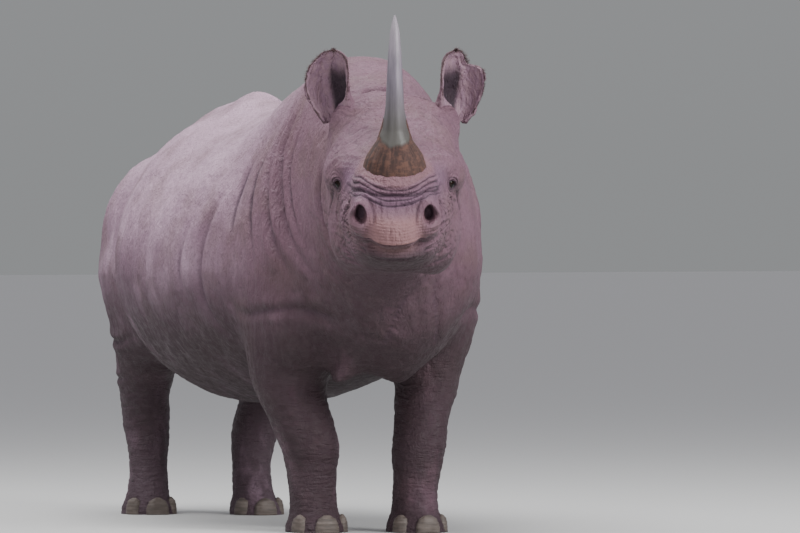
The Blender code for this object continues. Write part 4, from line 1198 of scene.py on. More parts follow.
def arc_frames(frame, start, length, angles, shares):
    """Places along a bent axis in the frame's middle plane, with the ways ahead of it and across it."""
    turn = angles[0] + (angles[1] - angles[0]) * (np.arange(ARC_STEPS) + 0.5) / ARC_STEPS
    steps = np.stack([np.sin(turn), np.cos(turn)], 1)
    path = np.vstack([np.zeros(2), np.cumsum(steps, 0) * length / ARC_STEPS])
    at = np.asarray(shares) * ARC_STEPS
    along, up = (start[i] + np.interp(at, np.arange(ARC_STEPS + 1), path[:, i]) for i in (0, 1))
    angle = angles[0] + (angles[1] - angles[0]) * np.asarray(shares)
    places = frame.world(np.stack([along, np.zeros_like(along), up], 1))
    ahead = np.cos(angle)[:, None] * frame.axes[0] - np.sin(angle)[:, None] * frame.axes[2]
    return places, ahead, frame.axes[1]


FRONT_HORN = [  # share of the length, half width, half depth
    (0.00, 0.100, 0.108), (0.10, 0.097, 0.103), (0.15, 0.090, 0.095), (0.20, 0.074, 0.080),
    (0.25, 0.055, 0.064), (0.32, 0.038, 0.048), (0.45, 0.0295, 0.038), (0.62, 0.025, 0.032),
    (0.78, 0.021, 0.026), (0.90, 0.015, 0.018), (0.96, 0.009, 0.011), (1.00, 0.003, 0.003),
]
REAR_HORN = [
    (0.00, 0.064, 0.076), (0.15, 0.060, 0.072), (0.30, 0.050, 0.060), (0.50, 0.036, 0.044),
    (0.70, 0.025, 0.030), (0.88, 0.014, 0.017), (1.00, 0.004, 0.005),
]
HORNS = [  # name, start, length, angles in degrees, profile, where the bare shaft begins
    ("front", (-0.178, 0.165), FRONT_HORN_LENGTH, (11, -21), FRONT_HORN, 0.24),
    ("rear", (-0.352, 0.215), REAR_HORN_LENGTH, (2, -16), REAR_HORN, 0.45),
]
FIBRE_DEPTH, FIBRE_BUNDLES, SHAFT_UNEVEN = 0.0034, 0.0022, 0.0006
HORN_INSET = 0.0008


def make_horn(name, start, length, angles, profile, bare_from, material):
    """A horn: smooth and worn above, a rough bundle of fibres flaring out below."""
    rows, sides = 220, 96
    shares = np.linspace(0, 1, rows)
    profile = np.array(profile)
    wide, deep = (np.interp(shares, profile[:, 0], profile[:, i]) for i in (1, 2))
    for _ in range(6):
        wide[1:-1], deep[1:-1] = ((v[:-2] + 2 * v[1:-1] + v[2:]) / 4 for v in (wide, deep))
    places, ahead, across = arc_frames(HEAD, start, length, [math.radians(angle) for angle in angles], shares)
    share, turn = np.meshgrid(shares, around(sides), indexing="ij")
    # the bare shaft ends below in a tongue at the front
    tongue = 0.055 * (1 - np.cos(turn))
    edge = bare_from + tongue + 0.004 * np.sin(5 * turn) + 0.003 * np.sin(11 * turn + 1)
    bare = ramp(share, edge - 0.012, edge + 0.012)
    circle = np.stack([np.cos(turn) * 2.2, np.sin(turn) * 2.2, share * length * 4], -1).reshape(-1, 3)
    fibres = furrows(circle, (0.16, 0.16, 0.55), 41).reshape(share.shape)
    bundles = noise(circle, (0.7, 0.7, 0.25), 42).reshape(share.shape)
    rough = (FIBRE_DEPTH * fibres + FIBRE_BUNDLES * bundles) * (1 - bare)
    rough = rough * (0.25 + 0.75 * ramp(share, 0.04, 0.16))
    lip = 0.0012 * bell(share - edge - 0.012, 0.014)
    smooth = SHAFT_UNEVEN * noise(circle, (0.5, 0.5, 1.4), 43).reshape(share.shape) * bare
    swell = rough + lip + smooth - HORN_INSET
    ring = (ahead[:, None] * ((deep[:, None] + swell) * np.cos(turn))[..., None]
            + across * ((wide[:, None] + swell) * np.sin(turn))[..., None])
    # the groove value is how deep in the fibres' furrows, for the painted shade there
    return placed(
        tube_net(places[:, None] + ring), name, material, bare=np.append(bare.ravel(), [0, 1]),
        groove=np.append(-fibres.ravel(), [0, 0]), share=np.append(share.ravel(), [0, 1]))


EAR_OPENS_TO = (0.93, 0.30, 0.0)
EAR_BULGE = 0.022
EAR_NARROW_ROOT = 0.36
EAR_FLARE, EAR_FLARE_HEIGHT = 0.016, 0.040
EAR_RIBS, EAR_RIM = 0.0020, 0.0040


def ear_grid(hand, torn, rows, columns):
    """Points of the ear's hollow side, and the way out of it, on a grid from root to tip."""
    share = 0.995 * (1 - (1 - np.linspace(0, 1, rows)) ** 1.3)
    share, across = np.meshgrid(share, np.linspace(-1, 1, columns), indexing="ij")
    rounding = 0.35 + 0.65 * np.sqrt(1 - np.clip(1 - share / 0.14, 0, 1) ** 2)
    across = np.where(across > 0, across * rounding, across)
    root, tip, open_to = (np.array((a, s * hand, u)) for a, s, u in (EAR_ROOT, EAR_TIP, EAR_OPENS_TO))
    axis = (tip - root) / np.linalg.norm(tip - root)
    open_to -= axis * (open_to @ axis)
    open_to /= np.linalg.norm(open_to)
    outward = np.cross(axis, open_to) * -hand
    outward *= np.sign(outward[1]) * hand
    rising = np.sin(np.minimum(share / EAR_WIDEST, 1) * math.pi / 2)
    growing = EAR_NARROW_ROOT + (1 - EAR_NARROW_ROOT) * rising
    power = np.where((across > 0) & (not torn), 1.5, 2.3)
    narrowing = np.maximum((share - EAR_WIDEST) / (1 - EAR_WIDEST), 0) ** power
    half_width = EAR_WIDTH / 2 * growing * np.sqrt(np.maximum(1 - narrowing, 0))
    # rolled nearly shut at its root, and opening upwards
    roll = np.radians(128 - 68 * np.minimum(share / 0.7, 1))
    radius = half_width / np.sin(np.minimum(roll, math.pi / 2))
    turn = across * roll
    if torn:
        away = TORN_AWAY * np.clip((share - TORN_FROM) / TORN_OVER, 0, 1)
        turn = np.where(across > 0, turn * (1 - away), turn)
    lobe = EAR_LOBE * np.maximum(across, 0) ** 2 * np.maximum(1 - share / 0.6, 0)
    bulge = EAR_BULGE * np.sin(math.pi * share)
    middle = root + (tip - root) * share[..., None] + outward * bulge[..., None]
    wider = 1.0 + 0.12 * (across > 0)
    points = (middle + outward * (radius * np.sin(turn) * wider)[..., None]
              - open_to * ((radius * np.cos(turn) - radius * np.cos(roll)) * 0.8)[..., None]
              - axis * lobe[..., None])
    normals = unit(np.cross(np.gradient(points, axis=0), np.gradient(points, axis=1)) * hand)
    return points, normals, share, across


def ear_net(body, hand, torn):
    """An ear: a hollow leaf with a rolled rim, ribs inside, and a foot that spreads on to the head.

    Also gives how hollow and how deep inside the ear each point lies; the depth is where painted shade goes.
    """
    points, normals, share, across = ear_grid(hand, torn, rows=90, columns=72)
    flat = points.reshape(-1, 3)
    to_rim = np.minimum(1 - np.abs(across), (1 - share) * 1.2)
    thick = EAR_THICKNESS * (0.35 + 0.65 * ramp(to_rim, 0, 0.18)) * (1 + 0.7 * ramp(0.4 - share, 0, 0.4))
    ribs = EAR_RIBS * np.cos(across * 13 + 1.5 * np.sin(3 * share))
    ribs = ribs * ramp(share, 0.15, 0.45) * ramp(to_rim, 0.05, 0.3)
    rolled = EAR_RIM * bell(to_rim - 0.10, 0.07)
    uneven = 0.0015 * noise(flat, 0.022, 51).reshape(share.shape)
    rough = 0.0012 * noise(flat, 0.012, 53).reshape(share.shape)
    ragged = 0.0040 * noise(flat, 0.010, 52) + 0.0080 * noise(flat, 0.035, 54)
    ragged = ragged.reshape(share.shape) * ramp(0.20 - to_rim, 0, 0.20) * ramp(share, 0.05, 0.2)
    hollow = points + normals * (ribs + uneven - rolled)[..., None]
    back = points + normals * (thick + uneven + rough)[..., None]
    away = unit(points - points.mean(1, keepdims=True))
    hollow, back = (side + away * ragged[..., None] for side in (hollow, back))
    loops = HEAD.world(np.concatenate([hollow, back[:, ::-1]], 1))
    # the foot spreads where it meets the head
    outward = np.concatenate([-normals, normals[:, ::-1]], 1) @ HEAD.axes
    gap = body.distance(loops.reshape(-1, 3)).reshape(loops.shape[:2])
    inner = np.concatenate([across, across[:, ::-1]], 1) < 0.35
    spread = EAR_FLARE * np.clip(1 - gap / EAR_FLARE_HEIGHT, 0, 1.2) ** 2 * inner
    # how deep in the ear's hollow, for the painted shade there
    cavity_shade = ramp(0.18 - across, 0, 0.22) * ramp(across, -1.0, -0.62) * ramp(0.86 - share, 0, 0.30)
    inside, deep = (np.append(np.concatenate([mask, np.zeros_like(share)], 1).ravel(), (0, 0))
                    for mask in (np.ones_like(share), cavity_shade))
    return tube_net(loops + outward * spread[..., None]), inside, deep


def ball(rows, sides, start, end):
    """The points of a ball one in radius, from one polar angle to another, and their polar angles."""
    polar, turn = np.meshgrid(np.linspace(start, end, rows), around(sides), indexing="ij")
    points = np.stack([np.sin(polar) * np.cos(turn), np.sin(polar) * np.sin(turn), np.cos(polar)], -1)
    return points, polar


CORNEA_BULGE = 0.0012
NAILS = ("outer", NAIL_TURN, SIDE_NAIL), ("middle", 0, MIDDLE_NAIL), ("inner", -NAIL_TURN, SIDE_NAIL)
NAIL_SQUARENESS = (0.86, 0.86, 0.80)


def make_eye(name, frame, material):
    """The ball, with the cornea's bulge at its front."""
    points, polar = ball(72, 72, 0.004, math.pi - 0.004)
    radius = EYE_BALL + CORNEA_BULGE * bell(polar, 0.45)
    points = frame.world(points * radius[..., None] + (0, 0, EYE_PROUD - EYE_BALL))
    return placed(tube_net(points), name, material, polar=np.append(polar.ravel(), [0, math.pi]))


def make_nails(material):
    """Three worn nails on each foot."""
    made = []
    for foot, (x, y, ahead, aside) in FEET.items():
        hand = -1 if foot.endswith("right") else 1
        for label, turn, half_width in NAILS:
            angle = turn * hand
            facing = math.atan2(math.sin(angle) / aside, math.cos(angle) / ahead)
            cos, sin = math.cos(facing), math.sin(facing)
            inset = NAIL_DEPTH - NAIL_PROUD
            place = BODY.world((x + ahead * math.cos(angle) - inset * cos,
                                y + aside * math.sin(angle) - inset * sin, 0))
            ring, _ = ball(28, 40, 0.02, math.pi / 2)
            ring = np.sign(ring) * np.abs(ring) ** NAIL_SQUARENESS
            # growth ridges, level, and a chipped lower edge
            ridge = 1 + 0.020 * np.sin(ring[..., 2] * 26) * ramp(ring[..., 2], 0.05, 0.3)
            ridge += 0.03 * noise(ring.reshape(-1, 3), 0.35, len(made)).reshape(ridge.shape)
            local = ring * ridge[..., None] * (NAIL_DEPTH, half_width, NAIL_HEIGHT)
            out, along, up = np.moveaxis(local, -1, 0)
            turned = np.stack([out * cos - along * sin, out * sin + along * cos, np.maximum(up, 0)], -1)
            name = f"nail_{foot}_{label}"
            made.append((placed(tube_net(place + turned), name + "_worn", material), name))
    return made


HAIR_BEND, HAIR_TAPER = 0.25, 0.9
BRISTLES_OUT, BRISTLE_ROW = 0.35, 0.006


def hair_net(roots, ways, lengths, thickness, droop, seed):
    """Tapering bent hairs as one net. Also gives each point's hair, and the roots, for the bake."""
    random = np.random.default_rng(seed)
    share = np.linspace(0, 1, HAIR_STEPS)
    ways = unit(ways)
    aside = unit(np.cross(ways, random.normal(size=ways.shape)))
    other = np.cross(ways, aside)
    bend = random.uniform(-HAIR_BEND, HAIR_BEND, (len(roots), 1, 1)) * share[:, None] ** 2 * aside[:, None]
    fall = droop * share[:, None] ** 2 * np.array((0, 0, -1.0))
    spine = roots[:, None] + lengths[:, None, None] * (share[:, None] * ways[:, None] + bend + fall)
    turn = around(HAIR_SIDES)[:, None]
    circle = aside[:, None, None] * np.cos(turn) + other[:, None, None] * np.sin(turn)
    taper = (thickness * (1 - HAIR_TAPER * share))[:, None, None]
    rings = spine[:, :, None] + taper * circle
    count = len(roots)
    index = np.arange(count * HAIR_STEPS * HAIR_SIDES).reshape(count, HAIR_STEPS, HAIR_SIDES)
    quads = wall(index)
    ends = np.concatenate([index[:, 0, ::-1], index[:, -1]])
    counts = np.concatenate([np.full(len(quads), 4), np.full(len(ends), HAIR_SIDES)])
    net = Net(rings.reshape(-1, 3), np.concatenate([quads.ravel(), ends.ravel()]), counts)
    return net, np.repeat(np.arange(count), HAIR_STEPS * HAIR_SIDES), roots


def ear_fringe(hand, torn):
    """Short dark hairs along the rim of an ear, longest at its tip."""
    points, normals, _, _ = ear_grid(hand, torn, rows=60, columns=41)
    random = np.random.default_rng(60 + hand)
    rim = np.concatenate([points[8:, -1], points[-1, ::-1], points[::-1, 0][:45]])
    inner = np.concatenate([points[8:, -4], points[-3, ::-1], points[::-1, 3][:45]])
    at = random.uniform(0, len(rim) - 1.001, EAR_HAIRS)
    low, part = at.astype(int), (at % 1)[:, None]
    roots = rim[low] * (1 - part) + rim[low + 1] * part
    ways = unit(roots - inner[low])
    facing = normals.reshape(-1, 3).mean(0)
    ways += random.normal(scale=0.35, size=ways.shape) - 0.25 * facing
    high = ramp(roots[:, 2], EAR_TIP[2] - 0.16, EAR_TIP[2])
    lengths = random.uniform(0.5, 1.0, len(roots)) * (0.006 + 0.013 * high)
    sunk = 0.004
    roots = roots - sunk * ways / np.linalg.norm(ways, axis=1, keepdims=True)
    return hair_net(HEAD.world(roots), ways @ HEAD.axes, lengths + sunk, 0.00045, 0.1, 61)


def tail_bristles():
    """Long stiff bristles in two rows, ahead of the end of the tail and behind it."""
    random = np.random.default_rng(70)
    shares = random.uniform(0.70, 0.97, TAIL_HAIRS)
    up = Frame(BODY.world(TAIL_ROOT), (1, 0, 0), (0, 1, 0))
    angles = [math.radians(180 + angle) for angle in TAIL_BEND]
    places, ahead, across = arc_frames(up, (0, 0), TAIL_LENGTH, angles, shares)
    row = np.where(random.random(TAIL_HAIRS) < 0.5, 1, -1)[:, None]
    tip = np.cross(ahead, across)
    tip *= -np.sign(tip[:, 2:])
    ways = tip + BRISTLES_OUT * row * ahead + random.normal(scale=0.10, size=ahead.shape)
    roots = places + BRISTLE_ROW * row * ahead + random.normal(scale=0.002, size=ahead.shape)
    lengths = random.uniform(0.06, 0.13, TAIL_HAIRS) * (1.3 - 0.6 * shares)
    return hair_net(roots, ways, lengths, 0.0008, 0.05, 71)


def lashes(frame):
    """Short lashes along the upper lid."""
    random = np.random.default_rng(80)
    turn = random.uniform(0.25, math.pi - 0.25, LASHES)
    edge = np.stack([EYE_LONG * np.cos(turn), EYE_TALL * np.sin(turn), np.zeros(LASHES)], 1) * 1.12
    out = np.hypot(edge[:, 0], edge[:, 1])
    edge[:, 2] = EYE_PROUD - EYE_BALL + np.sqrt((EYE_BALL + LID) ** 2 - out**2) - 0.0005
    ways = np.stack([0.5 * np.cos(turn), 0.35 + 0 * turn, np.ones(LASHES)], 1)
    ways += random.normal(scale=0.12, size=ways.shape)
    lengths = random.uniform(0.006, 0.012, LASHES)
    return hair_net(frame.world(edge), ways @ frame.axes, lengths, 0.0003, 0.25, 81)


def make_hair(name, hairs, material, unwrap):
    net, hair, roots = hairs
    obj = placed(net, name, material)
    add_bake_map(obj, hair_bake_map(net, hair, roots, *unwrap))
    return obj


class Graph:
    """A material's nodes."""

    NOISE_ROUGHNESS = 0.55

    def __init__(self, name):
        self.material = bpy.data.materials.new(name)
        self.material.use_nodes = True
        self.tree = self.material.node_tree
        self.shader = self.tree.nodes["Principled BSDF"]
        self.place = self.node("ShaderNodeTexCoord").outputs["Object"]

    def feed(self, socket, value):
        """Links a socket to another one, or gives it a value."""
        if isinstance(value, bpy.types.NodeSocket):
            self.tree.links.new(value, socket)
        else:
            socket.default_value = value

    def node(self, kind, inputs=(), **settings):
        made = self.tree.nodes.new(kind)
        for key, value in settings.items():
            setattr(made, key, value)
        for key, value in dict(inputs).items():
            self.feed(made.inputs[key], value)
        return made

    def set(self, key, value):
        self.feed(self.shader.inputs[key], value)

    def math(self, operation, a, b=0.0, clamp=False):
        return self.node("ShaderNodeMath", {0: a, 1: b}, operation=operation, use_clamp=clamp).outputs[0]

    def times(self, a, b):
        return self.math("MULTIPLY", a, b)

    def attribute(self, name):
        return self.node("ShaderNodeAttribute", attribute_name=name).outputs["Fac"]

    def part(self, vector, axis):
        return self.node("ShaderNodeSeparateXYZ", {0: vector}).outputs[axis]

    def noise(self, scale, detail=3.0, stretch=(1, 1, 1)):
        where = self.node("ShaderNodeMapping", {"Vector": self.place, "Scale": stretch}).outputs[0]
        inputs = {"Vector": where, "Scale": scale, "Detail": detail, "Roughness": self.NOISE_ROUGHNESS}
        return self.node("ShaderNodeTexNoise", inputs).outputs["Fac"]

    def ridges(self, scale, stretch):
        """Noise folded about its middle: 0 in sharp valleys, rising to 1 between them."""
        centred = self.math("SUBTRACT", self.noise(scale, 3.0, stretch), 0.5)
        return self.math("MULTIPLY", self.math("ABSOLUTE", centred), 5.0, clamp=True)

    def cells(self, scale):
        """Cells with bent sides: how far a place is from the nearest side."""
        bent = self.node("ShaderNodeTexNoise", {"Vector": self.place, "Scale": scale * 0.7, "Detail": 1.0})
        sway = {0: bent.outputs["Color"], 1: (0.6 / scale,) * 3}
        shift = self.node("ShaderNodeVectorMath", sway, operation="MULTIPLY").outputs[0]
        where = self.node("ShaderNodeVectorMath", {0: self.place, 1: shift}, operation="ADD").outputs[0]
        inputs = {"Vector": where, "Scale": scale}
        return self.node("ShaderNodeTexVoronoi", inputs, feature="DISTANCE_TO_EDGE").outputs["Distance"]

    def between(self, value, low, high, start=0.0, end=1.0):
        """Maps low..high to start..end, eased and held at its ends."""
        inputs = {"Value": value, "From Min": low, "From Max": high, "To Min": start, "To Max": end}
        return self.node("ShaderNodeMapRange", inputs, interpolation_type="SMOOTHSTEP").outputs[0]

    def mix(self, share, a, b):
        """From colour a to colour b."""
        made = self.node("ShaderNodeMix", data_type="RGBA")
        a, b = (colour if isinstance(colour, bpy.types.NodeSocket) else (*colour, 1) for colour in (a, b))
        for key, value in ((0, share), (6, a), (7, b)):
            self.feed(made.inputs[key], value)
        return made.outputs[2]

    def coat(self, colour, over, mask, strength):
        """The colour with another one laid over it where the mask is, at this strength."""
        return self.mix(self.times(mask, strength), colour, over)

    def bump(self, height, strength, distance, under=None):
        made = self.node("ShaderNodeBump", {"Height": height, "Strength": strength, "Distance": distance})
        if under is not None:
            self.feed(made.inputs["Normal"], under)
        return made.outputs[0]


HIDE = (0.262, 0.158, 0.218)
HIDE_LIGHT = (0.450, 0.302, 0.392)
HIDE_FACE = (0.150, 0.074, 0.102)
# the dark hide of mud, specks and chin, also used for painted shade low down and underneath
HIDE_DARK = (0.030, 0.016, 0.020)
HIDE_EARTH = (0.135, 0.082, 0.078)
HIDE_COOL = (0.145, 0.090, 0.190)
# the colour of the painted shade in creases, folds and hollows
CREASE_SHADE = (0.050, 0.026, 0.042)
LIP = (0.300, 0.150, 0.138)
EAR_INSIDE = (0.300, 0.190, 0.230)
EAR_CAVITY_SHADE = (0.022, 0.012, 0.020)
SHAFT_DARK, SHAFT_LIGHT = (0.095, 0.080, 0.105), (0.235, 0.200, 0.245)
SHAFT_ROOT, SHAFT_TIP = (0.060, 0.057, 0.045), (0.34, 0.30, 0.33)
FIBRE_DARK, FIBRE_LIGHT = (0.042, 0.019, 0.015), (0.078, 0.035, 0.026)
FIBRE_SWIRL, FIBRE_GROOVE_SHADE = (0.150, 0.066, 0.044), (0.022, 0.010, 0.009)
IRIS_DARK, IRIS_LIGHT = (0.008, 0.004, 0.003), (0.020, 0.010, 0.006)
EYE_WHITE, PUPIL = (0.030, 0.018, 0.016), (0.002, 0.002, 0.002)
NAIL_DARK, NAIL_LIGHT, NAIL_DIRT = (0.075, 0.058, 0.050), (0.145, 0.116, 0.100), (0.07, 0.05, 0.04)
BRISTLE = (0.022, 0.013, 0.015), (0.070, 0.042, 0.042)
FRINGE = (0.050, 0.026, 0.030), (0.150, 0.082, 0.086)


def hide_colour(g):
    """Pinkish grey behind, lighter on top there with dust and painted top light, browner and darker below
    with mud and painted shade, darkest on the undersides with painted shade, and darker and redder on neck
    and head.
    """
    upward = g.part(g.node("ShaderNodeNewGeometry").outputs["Normal"], "Z")
    low = g.between(g.part(g.place, "Z"), 1.04, 0.50)
    patches = g.between(g.noise(5.0, 4.0), 0.35, 0.68)
    streaks = g.between(g.noise(18.0, 3.0, (1, 1, 0.12)), 0.42, 0.62)
    colour = g.mix(patches, HIDE, HIDE_LIGHT)
    colour = g.coat(colour, HIDE, streaks, 0.55)
    # dust and painted top light: lighter where the skin faces up, on the back part
    dust_and_top_light = g.between(g.math("ADD", upward, g.times(g.noise(14.0), 0.5)), 0.25, 1.15)
    behind = g.between(g.part(g.place, "X"), 0.55, -0.10)
    colour = g.mix(g.math("SUBTRACT", 0.85, g.times(behind, 0.85)), colour, HIDE_FACE)
    colour = g.coat(colour, HIDE_LIGHT, g.times(dust_and_top_light, 0.75), behind)
    earth = g.between(g.noise(7.0, 5.0), 0.44, 0.68)
    colour = g.coat(colour, HIDE_EARTH, earth, 0.42)
    # mud and painted shade: darker low down, in blotches
    mud_and_shade = g.times(low, g.between(g.noise(9.0, 5.0, (1, 1, 0.5)), 0.05, 0.50))
    colour = g.coat(colour, HIDE_DARK, mud_and_shade, 0.90)
    # painted shade on the faces that look down
    under = g.between(upward, 0.05, -0.75)
    colour = g.coat(colour, HIDE_DARK, under, 0.70)
    specks = g.between(g.noise(150.0, 2.0), 0.50, 0.75)
    return g.coat(colour, HIDE_DARK, specks, 0.25)


def hide_bump(g):
    """Short wrinkles, upright on the body and level on the legs, a faint net of cracks, and grain."""
    legs = g.between(g.part(g.place, "Z"), 0.66, 0.50)
    upright, level = g.ridges(38.0, (1, 1, 0.25)), g.ridges(42.0, (0.30, 0.30, 1.4))
    lines = g.mix(legs, upright, level)
    net = g.ridges(75.0, (1, 1, 0.70))
    cracks = g.between(g.cells(170.0), 0.0, 0.20)
    grain = g.noise(520.0, 2.0)
    normal = None
    for height, strength, distance in (
            (lines, 0.60, 0.0055), (net, 0.55, 0.0032), (cracks, 0.22, 0.0007), (grain, 0.22, 0.0004)):
        normal = g.bump(height, strength, distance, normal)
    return normal


def skin_material():
    g = Graph("hide")
    colour = hide_colour(g)
    # the lip colour; the chin's darker tone with painted shade under the upper lip; a darker, bluer tint on
    # the muzzle
    for mask, over, strength in (("lip", LIP, 0.58), ("dark", HIDE_DARK, 0.80), ("cool", HIDE_COOL, 0.22)):
        colour = g.coat(colour, over, g.attribute(mask), strength)
    inside = g.mix(g.between(g.noise(60.0, 3.0, (1, 1, 0.3)), 0.35, 0.7), EAR_INSIDE, HIDE)
    # painted shade deep in the ear's hollow
    inside = g.coat(inside, EAR_CAVITY_SHADE, g.attribute("deep"), 0.95)
    colour = g.mix(g.attribute("hollow"), colour, inside)
    # painted shade in creases, folds and hollows
    colour = g.coat(colour, CREASE_SHADE, g.between(g.attribute("crease"), 0.05, 0.95), 0.84)
    g.set("Base Color", colour)
    g.set("Roughness", g.between(g.noise(40.0), 0.3, 0.7, 0.55, 0.80))
    g.set("Specular IOR Level", 0.38)
    g.set("Normal", hide_bump(g))
    return g.material


def horn_material():
    """A worn, polished grey shaft on a rough brown base of fibres."""
    g = Graph("horn")
    fibres = g.noise(260.0, 3.0, (1, 1, 0.08))
    streaks = g.between(g.noise(60.0, 4.0, (1, 1, 0.10)), 0.25, 0.75)
    shaft = g.mix(streaks, SHAFT_DARK, SHAFT_LIGHT)
    shaft = g.coat(shaft, SHAFT_ROOT, g.between(g.attribute("share"), 0.66, 0.26), 0.90)
    shaft = g.coat(shaft, SHAFT_TIP, g.between(g.attribute("share"), 0.62, 1.0), 0.6)
    base = g.mix(g.between(fibres, 0.30, 0.70), FIBRE_DARK, FIBRE_LIGHT)
    base = g.coat(base, FIBRE_SWIRL, g.between(g.noise(46.0, 4.0, (1, 1, 1.8)), 0.46, 0.60), 0.50)
    # painted shade in the grooves between the fibres
    base = g.mix(g.between(g.attribute("groove"), 0.30, 1.2), base, FIBRE_GROOVE_SHADE)
    bare = g.attribute("bare")
    g.set("Base Color", g.mix(bare, base, shaft))
    g.set("Roughness", g.math("ADD", g.times(bare, -0.32), 0.80))
    g.set("Normal", g.bump(fibres, 0.35, 0.0010))
    return g.material


def eye_material():
    g = Graph("eye")
    polar = g.attribute("polar")
    iris = g.mix(g.between(g.noise(900.0), 0.35, 0.65), IRIS_DARK, IRIS_LIGHT)
    colour = g.mix(g.between(polar, 0.95, 1.08), iris, EYE_WHITE)
    g.set("Base Color", g.mix(g.between(polar, 0.30, 0.36), PUPIL, colour))
    g.set("Roughness", 0.04)
    g.set("IOR", 1.36)
    g.set("Specular IOR Level", 0.30)
    return g.material


def hair_material(name, dark, light):
    """Coarse hair, with lighter and darker hairs among each other."""
    g = Graph(name)
    g.set("Base Color", g.mix(g.between(g.noise(180.0, 2.0), 0.35, 0.65), dark, light))
    g.set("Roughness", 0.5)
    return g.material


def nail_material():
    g = Graph("toenail")
    colour = g.mix(g.between(g.noise(60.0, 3.0, (0.3, 0.3, 2.2)), 0.3, 0.7), NAIL_DARK, NAIL_LIGHT)
    g.set("Base Color", g.coat(colour, NAIL_DIRT, g.between(g.noise(35.0, 4.0), 0.45, 0.7), 0.5))
    g.set("Roughness", 0.62)
    g.set("Normal", g.bump(g.noise(200.0, 3.0, (1, 1, 0.25)), 0.4, 0.0008))
    return g.material


CAMERA_TURN = math.radians(68)  # 0 looks along +Y, 90 along -X
CAMERA_DISTANCE, CAMERA_HEIGHT = 26.0, 1.148
CAMERA_ASIDE = 0.111
CAMERA_TIP = math.radians(-0.675)
CAMERA_LENS, CAMERA_SENSOR, CAMERA_REACH = 368.5, 36, 200
FLOOR_HALF = 60
FLOOR_COLOUR = (0.54, 0.54, 0.53, 1)
SKY = ((0.0, (0.42, 0.43, 0.44, 1)), (0.9, (1.00, 1.00, 1.08, 1)))  # how high up, and its colour
SKY_STRENGTH = 0.66
LIGHTS = (  # name, place, size, watts
    ("sky", (-0.5, -1.5, 6.0), 5.0, 470),
    ("right", (5.5, 2.6, 3.4), 2.5, 350),
    ("left", (6.0, -5.5, 2.6), 3.0, 110),
)
LIT = Vector((0, 0, 0.8))


def set_camera():
    """A long lens, nearly level, from ahead of the animal and to its right.

    It is aimed a little to one side of the forefeet.
    """
    away = Vector((math.sin(CAMERA_TURN), -math.cos(CAMERA_TURN), 0))
    across = Vector((math.cos(CAMERA_TURN), math.sin(CAMERA_TURN), 0))
    data = bpy.data.cameras.new("camera")
    data.sensor_width, data.lens = CAMERA_SENSOR, CAMERA_LENS
    data.clip_end = CAMERA_REACH
    camera = add_object("camera", data)
    aside = Vector(BODY.origin) + away * CAMERA_DISTANCE + across * CAMERA_ASIDE
    camera.location = aside + Vector((0, 0, CAMERA_HEIGHT))
    look = -away * math.cos(CAMERA_TIP) + Vector((0, 0, math.sin(CAMERA_TIP)))
    camera.rotation_euler = look.to_track_quat("-Z", "Y").to_euler()
    bpy.context.scene.camera = camera


def set_stage():
    """A plain floor under a soft grey sky that is brightest overhead, with three wide lights."""
    mesh = bpy.data.meshes.new("floor")
    corners = [(x * FLOOR_HALF, y * FLOOR_HALF, 0) for x, y in ((-1, -1), (1, -1), (1, 1), (-1, 1))]
    mesh.from_pydata(corners, [], [(0, 1, 2, 3)])
    floor = add_object("floor", mesh)
    g = Graph("floor")
    g.set("Base Color", FLOOR_COLOUR)
    g.set("Roughness", 0.95)
    floor.data.materials.append(g.material)
    world = bpy.data.worlds.new("world")
    world.use_nodes = True
    tree = world.node_tree
    background = tree.nodes["Background"]
    direction = tree.nodes.new("ShaderNodeTexCoord")
    split = tree.nodes.new("ShaderNodeSeparateXYZ")
    tree.links.new(direction.outputs["Generated"], split.inputs[0])
    sky = tree.nodes.new("ShaderNodeValToRGB")
    for element, (position, colour) in zip(sky.color_ramp.elements, SKY):
        element.position, element.color = position, colour
    tree.links.new(split.outputs["Z"], sky.inputs[0])
    tree.links.new(sky.outputs[0], background.inputs["Color"])
    background.inputs["Strength"].default_value = SKY_STRENGTH
    bpy.context.scene.world = world
    for name, place, size, power in LIGHTS:
        data = bpy.data.lights.new(name, "AREA")
        data.size, data.energy = size, power
        light = add_object(name, data)
        light.location = place
        light.rotation_euler = (LIT - Vector(place)).to_track_quat("-Z", "Y").to_euler()


TAIL = np.array([  # share of the length, half width, half depth
    (0.00, 0.060, 0.050), (0.12, 0.048, 0.042), (0.30, 0.034, 0.031), (0.50, 0.026, 0.024),
    (0.70, 0.019, 0.016), (0.85, 0.013, 0.012), (0.93, 0.008, 0.008)])


def tail_loft():
    """The tail as a hanging limb, bent along the arc that the solids have."""
    shares = np.linspace(0, TAIL[-1, 0], 24)
    down = Frame(BODY.world(TAIL_ROOT), (-1, 0, 0), (0, 1, 0))
    places, _, _ = arc_frames(down, (0, 0), TAIL_LENGTH, [math.radians(angle) for angle in TAIL_BEND], shares)
    wide, deep = (np.interp(shares, TAIL[:, 0], TAIL[:, i]) for i in (1, 2))
    rings = [(z, x, 0, half, thick, thick) for (x, _, z), half, thick in zip(BODY.local(places), wide, deep)]
    return leg_loft(rings, caps=(0.05, 0.02))


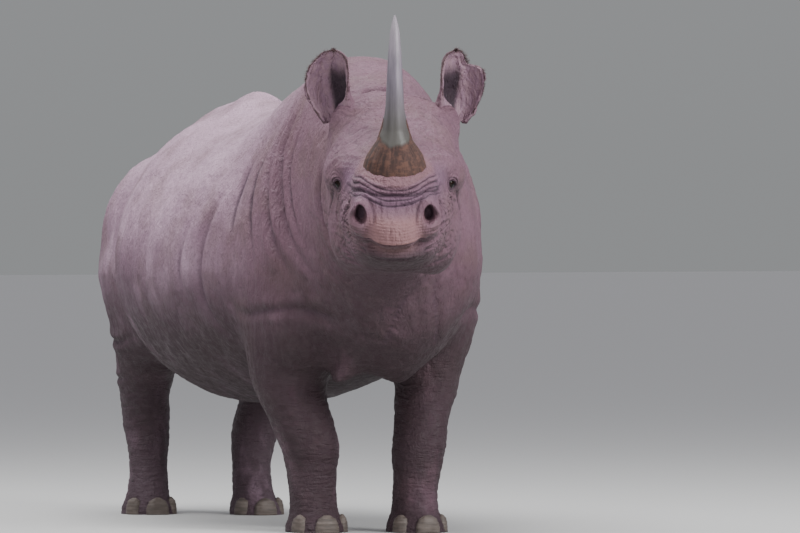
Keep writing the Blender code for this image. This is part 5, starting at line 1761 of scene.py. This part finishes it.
BREAST_SKIN = (  # centre, radii, and how far it is splayed, in degrees
    ((0.17, -0.115, 0.545), (0.070, 0.034, 0.085), -40),
    ((0.20, 0.012, 0.545), (0.065, 0.038, 0.070), 30),
)


class Animal(Body):
    """The body with its tail, fuller cheeks, and the breast's loose skin inside the forelegs."""

    TAIL_BLEND = 0.04

    def __init__(self):
        super().__init__()
        self.tail = tail_loft()
        self.head_masses += both_sides(HEAD, (-0.29, 0.124, 0.035), (0.125, 0.046, 0.078))
        self.head_masses += both_sides(HEAD, (-0.22, 0.098, -0.020), (0.085, 0.036, 0.045))
        for centre, radii, splay in BREAST_SKIN:
            self.muscles.append(Mass(BODY, centre, radii, splay=math.radians(splay)))

    def distance(self, points):
        return smooth_min(super().distance(points), self.tail.distance(points), self.TAIL_BLEND)


def make_pieces():
    """Every visible piece, with the nodes that it replaces and its slot."""
    body = Animal()
    eyes = eye_frames(body)
    skin, *unwrap = make_skin(body, eyes)
    horn, eye = horn_material(), eye_material()
    bristle, fringe = hair_material("bristle", *BRISTLE), hair_material("fringe", *FRINGE)
    legs = [f"{part}_{leg}" for part in ("upper_leg", "lower_leg", "foot") for leg in FEET]
    yield skin, ["head", "lower_jaw", "neck", "trunk", "tail", "ear_left", "ear_right", *legs], "skin"
    for side, frame in eyes.items():
        yield make_eye(f"eye_{side}_wet", frame, eye), [f"eye_{side}"], "eye"
    for name, *shape in HORNS:
        yield make_horn(f"horn_{name}_worn", *shape, horn), [f"horn_{name}"], "horn"
    yield make_hair("tail_bristles", tail_bristles(), bristle, unwrap), ["tail_tuft"], "hair"
    yield make_hair("ear_fringe_left", ear_fringe(1, True), fringe, unwrap), [], "hair"
    yield make_hair("ear_fringe_right", ear_fringe(-1, False), fringe, unwrap), [], "hair"
    for side, frame in eyes.items():
        yield make_hair(f"eyelashes_{side}", lashes(frame), bristle, unwrap), [], "hair"
    for nail, name in make_nails(nail_material()):
        yield nail, [name], "nail"


def main():
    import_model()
    for piece, nodes, slot in list(make_pieces()):
        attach(piece, "root")
        if nodes:
            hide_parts(*nodes)
    set_camera()
    set_stage()


main()
